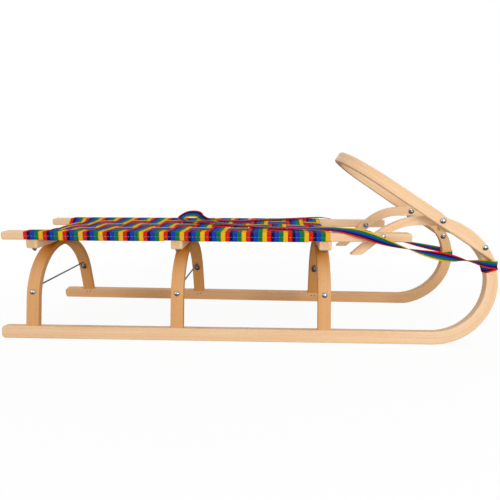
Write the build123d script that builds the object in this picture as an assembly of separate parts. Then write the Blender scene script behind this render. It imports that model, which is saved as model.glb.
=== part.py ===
"""Horn sled of bent wood: two runners that curl up at the front, three bent arches, a seat of
woven webbing between two rails, a bent hoop to hold on to, two braces and a webbing pull strap.

Frame: +X forward, +Y to the left, +Z up, millimetres. The origin is on the floor, under the
middle of the sled's length and width. The right half mirrors the left half."""
import os
from math import acos, atan2, cos, degrees, radians, sin, sqrt, tan

from build123d import *

# Runners
RUNNER_REAR = -602.5          # rear end
RUNNER_WIDTH = 21.5
RUNNER_HEIGHT = 31.0
RUNNER_SPREAD = 172.3         # outer face to the middle line, at the sole, halfway along
RUNNER_TOE = 0.69             # degrees that each runner turns in towards the front
RUNNER_LEAN = 7.45            # degrees that each runner leans in towards the top
CURL_RADIUS = 148.0           # outer face of the curl
CURL_THINNING = 4.0           # the bar is this much thinner at its tip
CURL_START = 455.0            # where the sole ends and the curl begins
CURL_END = 86.0               # degrees above level where the tip is cut upright
RUNNER_EDGE = 2.5             # broken long edges
RUNNER_CORNER = 6.0           # rounded corners at the rear end

# Arches and crossbars
ARCH_PLACES = (("rear", -525.0), ("middle", -162.0), ("front", 198.5))   # name, place along X
ARCH_WIDTH = 29.5             # along X
ARCH_THICKNESS = 15.0
ARCH_LEAN = 12.0              # degrees that the legs lean in
ARCH_TOP = 222.0              # crown before its seat is planed flat
CROSSBAR_BOTTOM = 220.0       # the planed seat on the crown
CROSSBAR_WIDTH = 30.0         # along X
CROSSBAR_HEIGHT = 22.5
CROSSBAR_CORNER = 7.0         # rounded lower corners at the ends
CROSSBAR_INSET = 1.0          # end to the rail's outer face
TENON_WIDTH = 24.0
TENON_THICKNESS = 10.0
TENON_DEPTH = 14.0
TENON_CLEARANCE = 0.2

# Tie rods
ROD_DIAMETER = 5.0
BOLT_HEIGHT = 113.0           # middle of the tabs at the rod's ends
TAB_HEIGHT = 26.0
TAB_WIDTH = 14.0
TAB_THICKNESS = 2.5
TAB_CORNER = 3.5
TAB_CLEARANCE = 0.8           # flat tab to the curved leg

# Seat rails
RAIL_REAR = -600.0
RAIL_FRONT = 400.5
RAIL_WIDTH = 30.0
RAIL_HEIGHT = 20.0
RAIL_SPREAD = 137.4           # outer face to the middle line, halfway along
RAIL_TOE = 0.35               # degrees that each rail turns in towards the front
RAIL_EDGE = 2.5               # broken long edges
RAIL_END = 4.0                # rounded ends, seen from the side

# Braces from the rails to the runner tips
BRACE_DEPTH = 24.0            # of the level stretch
BRACE_FOOT_DEPTH = 17.0       # of the slope
BRACE_THICKNESS = 19.0
BRACE_FOOT = 197.0            # height of the level cut at the lower end
BRACE_SLOPE = 42.8            # degrees
BRACE_RISE = 7.0              # upper edge above the curl's top
BRACE_LEVEL = 94.0            # upper edge of the level stretch, back to where the slope would meet it
BRACE_LAP = 17.0              # top of the front end ahead of the start of the curl
BRACE_UPPER_BEND = 125.0
BRACE_LOWER_BEND = 60.0
BRACE_TRIM = 1.0              # wood left on the outer face, planed off where it seats

# Horn hoop
HORN_SLOPE = 33.4             # degrees, rising rearwards
HORN_DEPTH = 26.0
HORN_THICKNESS = 18.0
HORN_TRIM = 3.0               # wood left on the inner faces, planed off where the legs seat
HORN_TIP = 232.0              # rear end of the hoop's lower edge, along X
HORN_TAPER = 4.4              # degrees that each leg turns in towards the tip
HORN_ARC_MARGIN = 24.0        # the rounded leg end: its radius beyond the curl's
HORN_ARC_BACK = 28.0          # its centre behind the curl's
HORN_ARC_DROP = 11.5          # its centre below the curl's
HORN_END_ANGLE = 22.2         # where the leg's lower edge meets that arc, from level
HORN_CHEEK_ANGLE = 75.0       # where the leg's upper edge meets it
HORN_CHEEK_LAP = 15.0         # the leg's end piece runs this far back into the leg
HORN_SEAT = 60.0              # the seat on the runner starts this far behind the arc

# Webbing of the seat
STRAP_COUNT = 15
STRAP_PITCH = 50.0
STRAP_WIDTH = 47.0
STRAP_REAR = -541.5           # rear edge of the first strap's place
STRAP_THICKNESS = 1.2
STRAP_CLEARANCE = 0.3         # strap to wood
STRAP_RETURN = 16.0           # under the rail, measured from its outer face
STRAP_END_GAP = 2.0           # above the rail's lower face, where a crossbar leaves no room to return
WEAVE_CLEARANCE = 0.2         # strap to strap
WEAVE_DROP = 3.0              # the woven field lies this far below the straps on the rails
WEAVE_EASE = 1.5              # beside a long strap, before a cross strap bends
LONG_STRAP_COUNT = 3
LONG_STRAP_PITCH = 66.0
LONG_STRAP_EASE = 0.2         # beside a cross strap, before a long strap bends

# Pull strap
CORD_DIAMETER = 6.0           # the limp webbing, gathered
CORD_SIDES = 6
CORD_LOOP_ANGLES = (("left", 7.5), ("right", 17.0))   # side, where it loops round the curl, from level
CORD_LOOP_WIDTH = 21.0
CORD_LOOP_THICKNESS = 1.5
CORD_LOOP_CLEARANCE = 0.6
CORD_ROUTE = (                # x, y, z
    (562, -139, 192), (522, -144, 200), (470, -147, 211), (415, -149, 222), (365, -150, 237),
    (322, -146, 256), (288, -133, 270.5), (250, -112, 274.5), (205, -90, 270.5), (150, -70, 267.5),
    (75, -58, 267), (-4, -34, 267.3), (-72, 0, 267.5), (-130, 44, 268.5), (-178, 56, 270.5),
    (-214, 82, 272.5), (-206, 118, 272.5), (-164, 122, 270.5), (-110, 92, 268.5), (-30, 66, 267.3),
    (60, 84, 267), (130, 108, 267.5), (190, 122, 271.5), (240, 136, 274.5), (285, 147, 264.5),
    (330, 152, 245), (385, 152, 221), (450, 149, 197), (512, 143, 184), (566, 135.5, 174))

BIG = 2000.0                  # larger than the sled, for trimming

CURL_INNER_RADIUS = CURL_RADIUS - RUNNER_HEIGHT + CURL_THINNING
BRACE_CORNER = CURL_START + BRACE_LAP - BRACE_LEVEL
RAIL_BOTTOM = CROSSBAR_BOTTOM + CROSSBAR_HEIGHT
RAIL_TOP = RAIL_BOTTOM + RAIL_HEIGHT
RUNNER_FRAME = Location((0, RUNNER_SPREAD, 0), (0, 0, -RUNNER_TOE)) * Location((0, 0, 0), (RUNNER_LEAN, 0, 0))
RAIL_FRAME = Location((0, RAIL_SPREAD, 0), (0, 0, -RAIL_TOE))


def other_side(shape):
    """The same piece on the right of the sled."""
    return mirror(shape, about=Plane.XZ)


def band(outer_points, inner_points, outer_radius, inner_radius):
    """A flat face between two open outlines, each with its corners rounded."""
    outer = FilletPolyline(*outer_points, radius=outer_radius)
    inner = FilletPolyline(*inner_points, radius=inner_radius)
    ends = [Line(outer @ 0, inner @ 0), Line(outer @ 1, inner @ 1)]
    return make_face(Curve() + [outer, inner] + ends)


def rail_outer(x):
    """Distance of a rail's outer face from the middle line."""
    return RAIL_SPREAD - x * tan(radians(RAIL_TOE))


def runner_half_space(y_from, y_to, z_from=-BIG, z_to=BIG):
    """A slab in the left runner's own frame, for cutting what seats on its faces."""
    size = (BIG, y_to - y_from, z_to - z_from)
    middle = (0, (y_from + y_to) / 2, (z_from + z_to) / 2)
    return RUNNER_FRAME * Pos(*middle) * Box(*size)


def runner():
    """A bar with a straight sole and a curl that thins towards its tip."""
    outer = CenterArc((CURL_START, CURL_RADIUS), CURL_RADIUS, -90, 90 + CURL_END)
    tip = outer @ 1
    inner_end = degrees(acos((tip.X - CURL_START) / CURL_INNER_RADIUS))
    inner_centre = (CURL_START, RUNNER_HEIGHT + CURL_INNER_RADIUS)
    inner = CenterArc(inner_centre, CURL_INNER_RADIUS, -90, 90 + inner_end)
    outline = Curve() + [
        Line((RUNNER_REAR, 0), outer @ 0),
        outer,
        Line(tip, inner @ 1),
        inner,
        Line(inner @ 0, (RUNNER_REAR, RUNNER_HEIGHT)),
        Line((RUNNER_REAR, RUNNER_HEIGHT), (RUNNER_REAR, 0)),
    ]
    face = make_face(outline)
    face = fillet(face.vertices().sort_by(Axis.X)[:2], RUNNER_CORNER)
    bar = extrude(Plane.XZ * face, amount=RUNNER_WIDTH)
    sides = bar.faces().sort_by(Axis.Y)
    bar = chamfer(sides[0].edges() + sides[-1].edges(), RUNNER_EDGE)
    bar = RUNNER_FRAME * bar
    for _, place in ARCH_PLACES:
        bar -= tenon(place, TENON_CLEARANCE)
    return bar - Pos(0, 0, -BIG / 2) * Box(BIG, BIG, BIG)


def tenon(place, clearance=0.0):
    """The tongue of an arch's foot, or the mortise for it where it has a clearance."""
    size = (TENON_WIDTH + 2 * clearance, TENON_THICKNESS + 2 * clearance, 2 * TENON_DEPTH + 2 * clearance)
    along = place / cos(radians(RUNNER_TOE))
    return RUNNER_FRAME * Pos(along, -RUNNER_WIDTH / 2, RUNNER_HEIGHT) * Box(*size)


def foot_middle(place):
    """Middle of an arch's foot where it stands on the runner: distance from the middle line."""
    corner = RUNNER_FRAME * Pos(place, -RUNNER_WIDTH / 2, RUNNER_HEIGHT)
    return corner.position.Y


def arch_outline(place, offset):
    """Points of an arch's outline, from foot to foot, and the radius of its shoulders."""
    lean = tan(radians(ARCH_LEAN))
    half = ARCH_THICKNESS / 2
    top = ARCH_TOP - half + offset
    low = RUNNER_HEIGHT - TENON_DEPTH
    middle = foot_middle(place) + offset / cos(radians(ARCH_LEAN))
    foot = middle + (RUNNER_HEIGHT - low) * lean
    shoulder = middle - (top - RUNNER_HEIGHT) * lean
    points = ((foot, low), (shoulder, top), (-shoulder, top), (-foot, low))
    centre_shoulder = foot_middle(place) - (ARCH_TOP - half - RUNNER_HEIGHT) * lean
    radius = 0.96 * centre_shoulder / tan(radians((90 - ARCH_LEAN) / 2)) + offset
    return points, radius


def arch(place):
    """A bent bar with tenons at its feet and a planed seat on its crown."""
    half = ARCH_THICKNESS / 2
    outer, outer_radius = arch_outline(place, half)
    inner, inner_radius = arch_outline(place, -half)
    face = band(outer, inner, outer_radius, inner_radius)
    bar = Pos(place, 0, 0) * extrude(Plane.YZ * face, amount=ARCH_WIDTH / 2, both=True)
    bar -= Pos(0, 0, CROSSBAR_BOTTOM + BIG / 2) * Box(BIG, BIG, BIG)
    below = runner_half_space(-BIG / 20, BIG / 20, -BIG / 10, RUNNER_HEIGHT)
    bar = bar - below - other_side(below)
    tongue = tenon(place)
    return bar + tongue + other_side(tongue)


def crossbar(place):
    """A bar from rail to rail, under both."""
    half = rail_outer(place) - CROSSBAR_INSET
    bar = Box(CROSSBAR_WIDTH, 2 * half, CROSSBAR_HEIGHT)
    low_ends = bar.edges().filter_by(Axis.X).group_by(Axis.Z)[0]
    bar = fillet(low_ends, CROSSBAR_CORNER)
    return Pos(place, 0, CROSSBAR_BOTTOM + CROSSBAR_HEIGHT / 2) * bar


def leg_frame(place, height):
    """A frame on the left leg's inner face: X along the sled, Z up the leg, Y out of the wood."""
    points, radius = arch_outline(place, -ARCH_THICKNESS / 2)
    centre_y = points[1][0] - radius * tan(radians((90 - ARCH_LEAN) / 2))
    centre_z = points[1][1] - radius
    rise = max(0.0, height - centre_z)
    y = centre_y + sqrt(radius ** 2 - rise ** 2)
    turn = degrees(atan2(rise, y - centre_y))
    return Location((place, y, height), (turn, 0, 0))


def tie_rod(place):
    """A rod between an arch's legs, with a flattened tab bent down at each end."""
    frame = leg_frame(place, BOLT_HEIGHT)
    depth = -TAB_CLEARANCE - TAB_THICKNESS / 2
    plate = Box(TAB_WIDTH, TAB_THICKNESS, TAB_HEIGHT)
    plate = frame * Pos(0, depth, 0) * chamfer(plate.edges().filter_by(Axis.Y), TAB_CORNER)
    end = (frame * Pos(0, depth, (TAB_HEIGHT - ROD_DIAMETER) / 2)).position
    rod = Pos(place, 0, end.Z) * Rot(90, 0, 0) * Cylinder(ROD_DIAMETER / 2, 2 * end.Y)
    return rod + plate + other_side(plate)


def rail():
    """A straight bar under the webbing, with rounded ends."""
    length = RAIL_FRONT - RAIL_REAR
    bar = Box(length, RAIL_WIDTH, RAIL_HEIGHT)
    bar = fillet(bar.edges().filter_by(Axis.Y), RAIL_END)
    sides = bar.faces().sort_by(Axis.Y)
    bar = chamfer(sides[0].edges() + sides[-1].edges(), RAIL_EDGE)
    middle = ((RAIL_REAR + RAIL_FRONT) / 2, -RAIL_WIDTH / 2, RAIL_BOTTOM + RAIL_HEIGHT / 2)
    return RAIL_FRAME * Pos(*middle) * bar


def brace_plan(front, low):
    """The brace seen from above: along the rail's inner face, then along the runner's."""
    tip = CURL_START + CURL_RADIUS * cos(radians(CURL_END))
    rail_inner = RAIL_WIDTH / cos(radians(RAIL_TOE)) - BRACE_TRIM
    outer = [(x, rail_outer(x) - rail_inner) for x in (BRACE_CORNER - BRACE_CORNER / 2, RAIL_FRONT)]
    for x in (tip, front):
        seat = RUNNER_FRAME * Pos(x, BRACE_TRIM - RUNNER_WIDTH, low)
        outer.append((x, seat.position.Y))
    inner = [(x, y - BRACE_THICKNESS - BRACE_TRIM) for x, y in reversed(outer)]
    return make_face(Polyline(*outer, *inner, close=True))


def brace():
    """A bent bar inside the rail and the runner's tip, planed to lie flat on both."""
    top = 2 * CURL_RADIUS + BRACE_RISE
    low = top - BRACE_DEPTH
    front = CURL_START + BRACE_LAP
    low_front = front + BRACE_DEPTH / tan(radians(HORN_SLOPE))
    rise = tan(radians(BRACE_SLOPE))
    fall = BRACE_FOOT_DEPTH / cos(radians(BRACE_SLOPE))
    drop = top - BRACE_FOOT + BRACE_DEPTH
    rear = BRACE_CORNER - drop / rise
    low_corner = BRACE_CORNER + (fall - BRACE_DEPTH) / rise
    upper = ((rear, top - drop), (BRACE_CORNER, top), (front, top))
    lower = ((rear, top - drop - fall), (low_corner, low), (low_front, low))
    side = band(upper, lower, BRACE_UPPER_BEND, BRACE_LOWER_BEND)
    bar = extrude(Plane.XZ * side, amount=BIG / 2, both=True)
    bar = bar & extrude(brace_plan(low_front, low), amount=BIG)
    bar -= Pos(0, 0, BRACE_FOOT - BIG / 2) * Box(BIG, BIG, BIG)
    bar -= runner_half_space(-RUNNER_WIDTH, BIG)
    seat = RAIL_FRAME * Pos(0, BIG / 2 - RAIL_WIDTH, 0) * Box(2 * RAIL_FRONT + BRACE_DEPTH, BIG, BIG)
    return bar - seat


def horn_hoop():
    """A bent hoop whose legs lie on the outer faces of the runner tips and end on an arc."""
    slope = radians(HORN_SLOPE)
    arc_centre = (CURL_START - HORN_ARC_BACK, CURL_RADIUS - HORN_ARC_DROP)
    arc_radius = CURL_RADIUS + HORN_ARC_MARGIN
    arc = CenterArc(arc_centre, arc_radius, HORN_END_ANGLE, HORN_CHEEK_ANGLE - HORN_END_ANGLE)
    end = arc @ 0
    end_point = (RUNNER_FRAME * Pos(end.X, 0, end.Y)).position
    length = (end_point.X - HORN_TIP) / cos(slope)
    up = Vector(sin(slope), 0, cos(slope))
    forward = Vector(cos(slope), 0, -sin(slope))
    origin = Vector(end_point.X, 0, end_point.Z) + up * (HORN_DEPTH / 2)
    plane = Plane(origin=origin, x_dir=forward, z_dir=up)
    reach = end_point.Y + HORN_THICKNESS
    outer, outer_radius = hoop_outline(reach, length, 0.0)
    inner, inner_radius = hoop_outline(reach, length, HORN_THICKNESS + HORN_TRIM)
    face = band(outer, inner, outer_radius, inner_radius)
    hoop = extrude(plane * face, amount=HORN_DEPTH / 2, both=True)
    cheek = RUNNER_FRAME * extrude(Plane.XZ * horn_cheek(arc), amount=-HORN_THICKNESS)
    hoop = hoop + cheek + other_side(cheek)
    outside = Pos(BIG / 2, 0, 0) * Box(BIG, BIG / 10, BIG)
    outside -= Rot(90, 0, 0) * Cylinder(arc_radius, BIG)
    trim = RUNNER_FRAME * Pos(arc_centre[0], 0, arc_centre[1]) * outside
    beyond = RUNNER_FRAME * Pos((arc @ 1).X, 0, 0)
    trim = trim & (beyond * Pos(BIG / 2, 0, 0) * Box(BIG, BIG, BIG))
    runner_side = runner_half_space(-BIG / 10, 0)
    runner_side = runner_side & (beyond * Pos(BIG / 2 - HORN_SEAT, 0, 0) * Box(BIG, BIG, BIG))
    for cut in (trim, runner_side):
        hoop = hoop - cut - other_side(cut)
    return hoop


def hoop_outline(reach, length, inset):
    """Points of the hoop's outline in its own plane, from leg to leg, and its bend's radius."""
    taper = tan(radians(HORN_TAPER))
    tip = -length + inset
    half_end = reach - inset / cos(radians(HORN_TAPER))
    half_tip = half_end + tip * taper
    points = ((0, half_end), (tip, half_tip), (tip, -half_tip), (0, -half_end))
    turn = radians(90 - HORN_TAPER)
    radius = 0.97 * half_tip / tan(turn / 2)
    return points, radius


def horn_cheek(arc):
    """The leg's end, between its straight lower edge and its arc."""
    end = arc @ 0
    back = (arc @ 1).X - HORN_CHEEK_LAP
    low = (back, end.Y + (end.X - back) * tan(radians(HORN_SLOPE)))
    return make_face(Curve() + [arc, Line(arc @ 1, low), Line(low, arc @ 0)])


def strap_face(points):
    """The edge of a strap of even thickness that follows a bent line."""
    spots = [Vector(*point) for point in points]
    over = []
    under = []
    for index, spot in enumerate(spots):
        before = spots[max(index - 1, 0)]
        after = spots[min(index + 1, len(spots) - 1)]
        run_in = (spot - before if index else after - spot).normalized()
        run_out = (after - spot if index + 1 < len(spots) else spot - before).normalized()
        along = (run_in + run_out).normalized()
        across = Vector(-along.Y, along.X) * (STRAP_THICKNESS / 2 / along.dot(run_in))
        over.append(spot + across)
        under.append(spot - across)
    return make_face(Polyline(*over, *reversed(under), close=True))


def strap_middle(index):
    """Place of a cross strap along X."""
    return STRAP_REAR + (index + 0.5) * STRAP_PITCH


def lane_middle(lane):
    """Place of a long strap along Y."""
    return (lane - (LONG_STRAP_COUNT - 1) / 2) * LONG_STRAP_PITCH


def weave_level(index, lane):
    """Height of a cross strap where it crosses a long strap: over one and under the next."""
    step = (STRAP_THICKNESS + WEAVE_CLEARANCE) / 2
    middle = RAIL_TOP + STRAP_CLEARANCE + STRAP_THICKNESS / 2 - WEAVE_DROP
    return middle + (step if (index + lane) % 2 else -step)


def cross_strap(index):
    """A strap from rail to rail, wrapped round both and woven with the long straps."""
    middle = strap_middle(index)
    gap = STRAP_CLEARANCE + STRAP_THICKNESS / 2
    outer = rail_outer(middle) + gap
    top = RAIL_TOP + gap
    bottom = RAIL_BOTTOM - gap
    reach = (STRAP_PITCH + CROSSBAR_WIDTH) / 2
    if any(abs(middle - place) < reach for _, place in ARCH_PLACES):
        half = [(outer, bottom + STRAP_END_GAP)]
    else:
        half = [(outer - STRAP_RETURN, bottom), (outer - RAIL_EDGE, bottom), (outer, bottom + RAIL_EDGE)]
    half += [(outer, top - RAIL_EDGE), (outer - RAIL_EDGE, top), (outer - RAIL_WIDTH, top)]
    points = list(half)
    lane_half = STRAP_WIDTH / 2 + WEAVE_EASE
    for lane in reversed(range(LONG_STRAP_COUNT)):
        level = weave_level(index, lane)
        points += [(lane_middle(lane) + lane_half, level), (lane_middle(lane) - lane_half, level)]
    points += [(-y, z) for y, z in reversed(half)]
    edge = strap_face(points)
    return Pos(middle, 0, 0) * extrude(Plane.YZ * edge, amount=STRAP_WIDTH / 2, both=True)


def long_strap(lane):
    """A strap along the seat, over one cross strap and under the next."""
    points = []
    half = STRAP_WIDTH / 2 + LONG_STRAP_EASE
    centre = RAIL_TOP + STRAP_CLEARANCE + STRAP_THICKNESS / 2 - WEAVE_DROP
    for index in range(STRAP_COUNT):
        level = 2 * centre - weave_level(index, lane)
        points += [(strap_middle(index) - half, level), (strap_middle(index) + half, level)]
    edge = strap_face(points)
    return Pos(0, lane_middle(lane), 0) * extrude(Plane.XZ * edge, amount=STRAP_WIDTH / 2, both=True)


def cord_radii(route):
    """The largest radius that the two runs beside each corner of the route allow."""
    radii = []
    for before, point, after in zip(route, route[1:], route[2:]):
        run_in = Vector(*point) - Vector(*before)
        run_out = Vector(*after) - Vector(*point)
        turn = radians(run_in.get_angle(run_out))
        radii.append(0.45 * min(run_in.length, run_out.length) / tan(turn / 2))
    return radii


def pull_strap():
    """The limp strap from one curl over the seat to the other, as a plain tube."""
    radii = cord_radii(CORD_ROUTE)
    print("pull strap radii", [round(radius) for radius in radii])
    path = FilletPolyline(*CORD_ROUTE, radius=radii)
    print("pull strap length", round(path.length))
    section = Plane(origin=path @ 0, z_dir=path % 0) * RegularPolygon(CORD_DIAMETER / 2, CORD_SIDES)
    return sweep(section, path=path)


def strap_loop(angle):
    """An end of the pull strap, looped round the left runner's curl."""
    depth = CURL_RADIUS - CURL_INNER_RADIUS
    inner = Box(depth + 2 * CORD_LOOP_CLEARANCE, RUNNER_WIDTH + 2 * CORD_LOOP_CLEARANCE, BIG)
    wall = 2 * (CORD_LOOP_CLEARANCE + CORD_LOOP_THICKNESS)
    outer = Box(depth + wall, RUNNER_WIDTH + wall, CORD_LOOP_WIDTH)
    outer = chamfer(outer.edges().filter_by(Axis.Z), RUNNER_EDGE)
    turn = Location((CURL_START, -RUNNER_WIDTH / 2, CURL_RADIUS), (0, -angle, 0))
    return RUNNER_FRAME * turn * Pos(CURL_RADIUS - depth / 2, 0, 0) * (outer - inner)


def pieces():
    """Every node's name and shape."""
    yield "runner_left", runner()
    yield "rail_left", rail()
    yield "brace_left", brace()
    for name in ("runner", "rail", "brace"):
        yield name + "_right", name
    for side, angle in CORD_LOOP_ANGLES:
        loop = strap_loop(angle)
        yield "strap_loop_" + side, loop if side == "left" else other_side(loop)
    for name, place in ARCH_PLACES:
        yield "arch_" + name, arch(place)
        yield "crossbar_" + name, crossbar(place)
        yield "tie_rod_" + name, tie_rod(place)
    yield "horn_hoop", horn_hoop()
    yield "seat_cross_straps", Compound(children=[cross_strap(index) for index in range(STRAP_COUNT)])
    yield "seat_long_straps", Compound(children=[long_strap(lane) for lane in range(LONG_STRAP_COUNT)])
    yield "pull_strap", pull_strap()


def main():
    os.makedirs("parts", exist_ok=True)
    made = {}
    for node, shape in pieces():
        if isinstance(shape, str):
            shape = other_side(made[shape + "_left"])
        made[node] = shape
        export_step(shape, "parts/" + node + ".step")
        print(node, round(shape.volume), len(shape.solids()))


main()
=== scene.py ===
"""Bentwood horn sled: curled runners, bent arches, a seat of striped webbing, a horn hoop and a pull
strap. Metres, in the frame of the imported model: +X forward, +Y to the left, +Z up."""
from math import acos, cos, exp, pi, radians, sin, sqrt, tan

import bmesh
import bpy
from bpy.props import FloatProperty, FloatVectorProperty, PointerProperty
from mathutils import Matrix, Vector


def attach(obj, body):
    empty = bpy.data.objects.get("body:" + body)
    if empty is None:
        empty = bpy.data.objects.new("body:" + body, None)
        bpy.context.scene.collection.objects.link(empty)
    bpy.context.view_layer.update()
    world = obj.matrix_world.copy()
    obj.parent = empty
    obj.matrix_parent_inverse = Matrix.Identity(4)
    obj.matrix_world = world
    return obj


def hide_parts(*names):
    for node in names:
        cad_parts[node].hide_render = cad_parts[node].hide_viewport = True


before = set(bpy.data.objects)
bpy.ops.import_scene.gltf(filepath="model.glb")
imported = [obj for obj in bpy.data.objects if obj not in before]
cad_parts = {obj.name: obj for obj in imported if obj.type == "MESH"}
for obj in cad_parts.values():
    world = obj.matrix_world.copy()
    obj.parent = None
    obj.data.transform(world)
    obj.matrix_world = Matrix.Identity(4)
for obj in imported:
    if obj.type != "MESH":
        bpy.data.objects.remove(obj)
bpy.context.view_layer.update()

bl_info = {
    "name": "Horn Sled",
    "version": (1, 0, 0),
    "blender": (4, 5, 0),
    "location": "View3D > Sidebar > Horn Sled",
    "description": "Builds a bentwood sled with a striped webbing seat and a pull strap",
    "category": "Add Mesh",
}

# Runners
RUNNER_REAR = -0.6025
RUNNER_WIDTH = 0.0215
RUNNER_HEIGHT = 0.031
RUNNER_SPREAD = 0.1723        # outer face to the middle line, at the sole
RUNNER_TOE = radians(0.69)
RUNNER_LEAN = radians(7.45)
CURL_RADIUS = 0.148
CURL_INNER_RADIUS = 0.121
CURL_OFFSET = RUNNER_HEIGHT + CURL_INNER_RADIUS - CURL_RADIUS  # inner circle's centre above the outer one's
CURL_START = 0.455
CURL_END = radians(86.0)
CURL_TIP = CURL_START + CURL_RADIUS * cos(CURL_END)
SMALL_END = (0.0015, 0.0015)  # rounding of a bar's end over its depth and its width
RUNNER_HEEL = (0.009, 0.0025)

# Arches and crossbars
ARCH_PLACES = {"rear": -0.525, "middle": -0.162, "front": 0.1985}
ARCH_WIDTH = 0.0315
ARCH_THICKNESS = 0.016
ARCH_LEAN = radians(12.0)
ARCH_TOP = 0.222
ARCH_FOOT = 0.027             # lowest point, sunk in the runner
ARCH_CROWN = 0.96             # share of the half width that a shoulder's bend takes
CROSSBAR_BOTTOM = 0.220
CROSSBAR_WIDTH = 0.030
CROSSBAR_CORNER = 0.007
CROSSBAR_SIDE_CUT = 0.8       # rounding of the ends over the width, as a share of that below
CROSSBAR_INSET = 0.001        # end to the rail's outer face
BOLT_HEIGHT = 0.113           # bolts of the tie rods
TAB_HEIGHT = 0.026
TAB_HALF_WIDTH = 0.007
TAB_HALF_THICKNESS = 0.00125
TAB_STAND_OFF = 0.0021        # leg to the middle of the tab
TAB_TIP = 0.005               # height of the rounded tip
TAB_NECK = (0.001, 0.006)     # start of the neck above the bolt, and the run over which it is round
TAB_TOP = 0.007               # last point below the tab's full height
ROD_BEND = 0.006

# Seat rails
RAIL_REAR = -0.600
RAIL_FRONT = {"left": 0.396, "right": 0.4005}
RAIL_WIDTH = 0.030
RAIL_BOTTOM = 0.2425
RAIL_TOP = 0.2625
RAIL_SPREAD = 0.1374
RAIL_TOE = radians(0.35)
RAIL_HEEL = (0.006, 0.002)
RAIL_NOSE = {"left": SMALL_END, "right": (0.0045, 0.002)}

# Braces
BRACE_DEPTH = 0.024
BRACE_BEND_DEPTH = 0.0245
BRACE_FOOT_DEPTH = 0.019
BRACE_THICKNESS = 0.019
BRACE_FOOT = {"left": 0.190, "right": 0.205}
BRACE_BEND = {"left": 0.135, "right": 0.205}
BRACE_LOWER_BEND = 0.110
BRACE_SLOPE = radians(42.8)
BRACE_TOP = 2 * CURL_RADIUS + 0.007
BRACE_CORNER = {"left": 0.378, "right": 0.369}
BRACE_FRONT = CURL_START + 0.017
BRACE_BOLT = {"left": (0.338, 0.2510), "right": (0.3315, 0.2560)}

# Horn hoop
HORN_SLOPE = radians(33.4)
HORN_DEPTH = 0.026
HORN_THICKNESS = 0.018
HORN_TIP = 0.232
HORN_TAPER = radians(4.4)
HORN_CROWN = 0.97             # share of the half width that a corner's bend takes
HORN_SETBACK = 0.004          # last station before the legs' ends
HORN_ARC_CENTRE = (0.427, 0.1365)    # in the runner's own plane
HORN_ARC_RADIUS = 0.172
HORN_END_ANGLE = radians(22.2)
HORN_TRIM = 0.003             # wood on the inner faces, planed off where the legs seat
HORN_SEAT = (0.400, 0.030)    # start of the seat on the runner, and the run over which it is reached
HORN_CHEEK = (0.448, 0.020)   # start of the rounded end, and the run over which it is reached
HORN_BOLTS = {"left": ((0.4635, 0.2915), (0.5690, 0.2155)), "right": ((0.4635, 0.2958), (0.5605, 0.2352))}

# Seat webbing
STRAP_COUNT = 15
STRAP_PITCH = 0.050
STRAP_REAR = -0.5415
STRAP_CLEARANCE = 0.0003
STRAP_RETURN = 0.016
STRAP_CORNER = 0.003          # bend of a strap round a bar's edge
STRAP_ON_RAIL = 0.0498        # width of a cross strap on the rails
STRAP_NARROWING = 0.0016      # what it loses in the woven field
NARROWING_RUN = 0.02
STRAP_END_GAP = 0.002         # end of a strap above the rail's lower face, where a crossbar leaves no room
FOLD_STEP = 0.004             # points of the fold at a long strap's end
WEAVE_CLEARANCE = 0.0002      # strap to strap
WEAVE_DROP = 0.003            # field below the rails
WEAVE_REACH = (0.025, 0.016)  # half a crossing's level stretch, and the run back to the middle
FIELD_OVERLAP = 0.001         # field over the rail's inner edge
FIELD_FLATNESS = 7            # power of the fall across the field
SLACK_REAR = 0.0185           # further fall of the field at its loose ends
SLACK_FRONT = 0.007
SLACK_REACH = 0.05
FIELD_FALL = 0.0175           # where the field comes to rest on the crossbars
LONG_STRAP_COUNT = 3
LONG_STRAP_PITCH = 0.066
LONG_STRAP_WIDTH = 0.047
LONG_STRAP_INSET = 0.0012     # fold to the edge of the last cross strap
CROSSOVER = 0.28              # run from over to under, as a share of the pitch
STITCH_COUNT = 6              # on a cross strap
STITCH_MARGIN = 0.0046        # edge of the strap to the first stitch
STITCH_PITCH = 0.0082
STITCH_HEIGHT = 0.2525
THREAD_WIDTH = 0.0009
WARP_PITCH = 0.0009
WEFT_PITCH = 0.0017

# Pull strap: control points from the right curl over the seat to the left curl
STRAP_ROUTE = (
    (0.5965, -0.1434, 0.1915), (0.5600, -0.1470, 0.1962), (0.5220, -0.1450, 0.2024), (0.4700, -0.1470, 0.2108),
    (0.4250, -0.1482, 0.2195), (0.3850, -0.1492, 0.2298), (0.3450, -0.1500, 0.2418), (0.3080, -0.1495, 0.2550),
    (0.2750, -0.1440, 0.2652), (0.2420, -0.1290, 0.2695), (0.2050, -0.1010, 0.2690), (0.1500, -0.0750, 0.2652),
    (0.0500, -0.0500, 0.2640), (-0.0750, 0.0040, 0.2650), (-0.1080, 0.0230, 0.2722), (-0.1400, 0.0350, 0.2662),
    (-0.1760, 0.0470, 0.2650), (-0.1960, 0.0640, 0.2720), (-0.1750, 0.0740, 0.2838), (-0.1430, 0.0780, 0.2830),
    (-0.1370, 0.0830, 0.2712), (-0.1050, 0.0775, 0.2672), (-0.0250, 0.0640, 0.2640), (0.0250, 0.0920, 0.2652),
    (0.1100, 0.1060, 0.2663), (0.1750, 0.1240, 0.2672), (0.2120, 0.1390, 0.2672), (0.2400, 0.1505, 0.2625),
    (0.2800, 0.1535, 0.2500), (0.3300, 0.1535, 0.2340), (0.3850, 0.1525, 0.2155), (0.4500, 0.1490, 0.1970),
    (0.5120, 0.1430, 0.1840), (0.5710, 0.1355, 0.1730))
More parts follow.
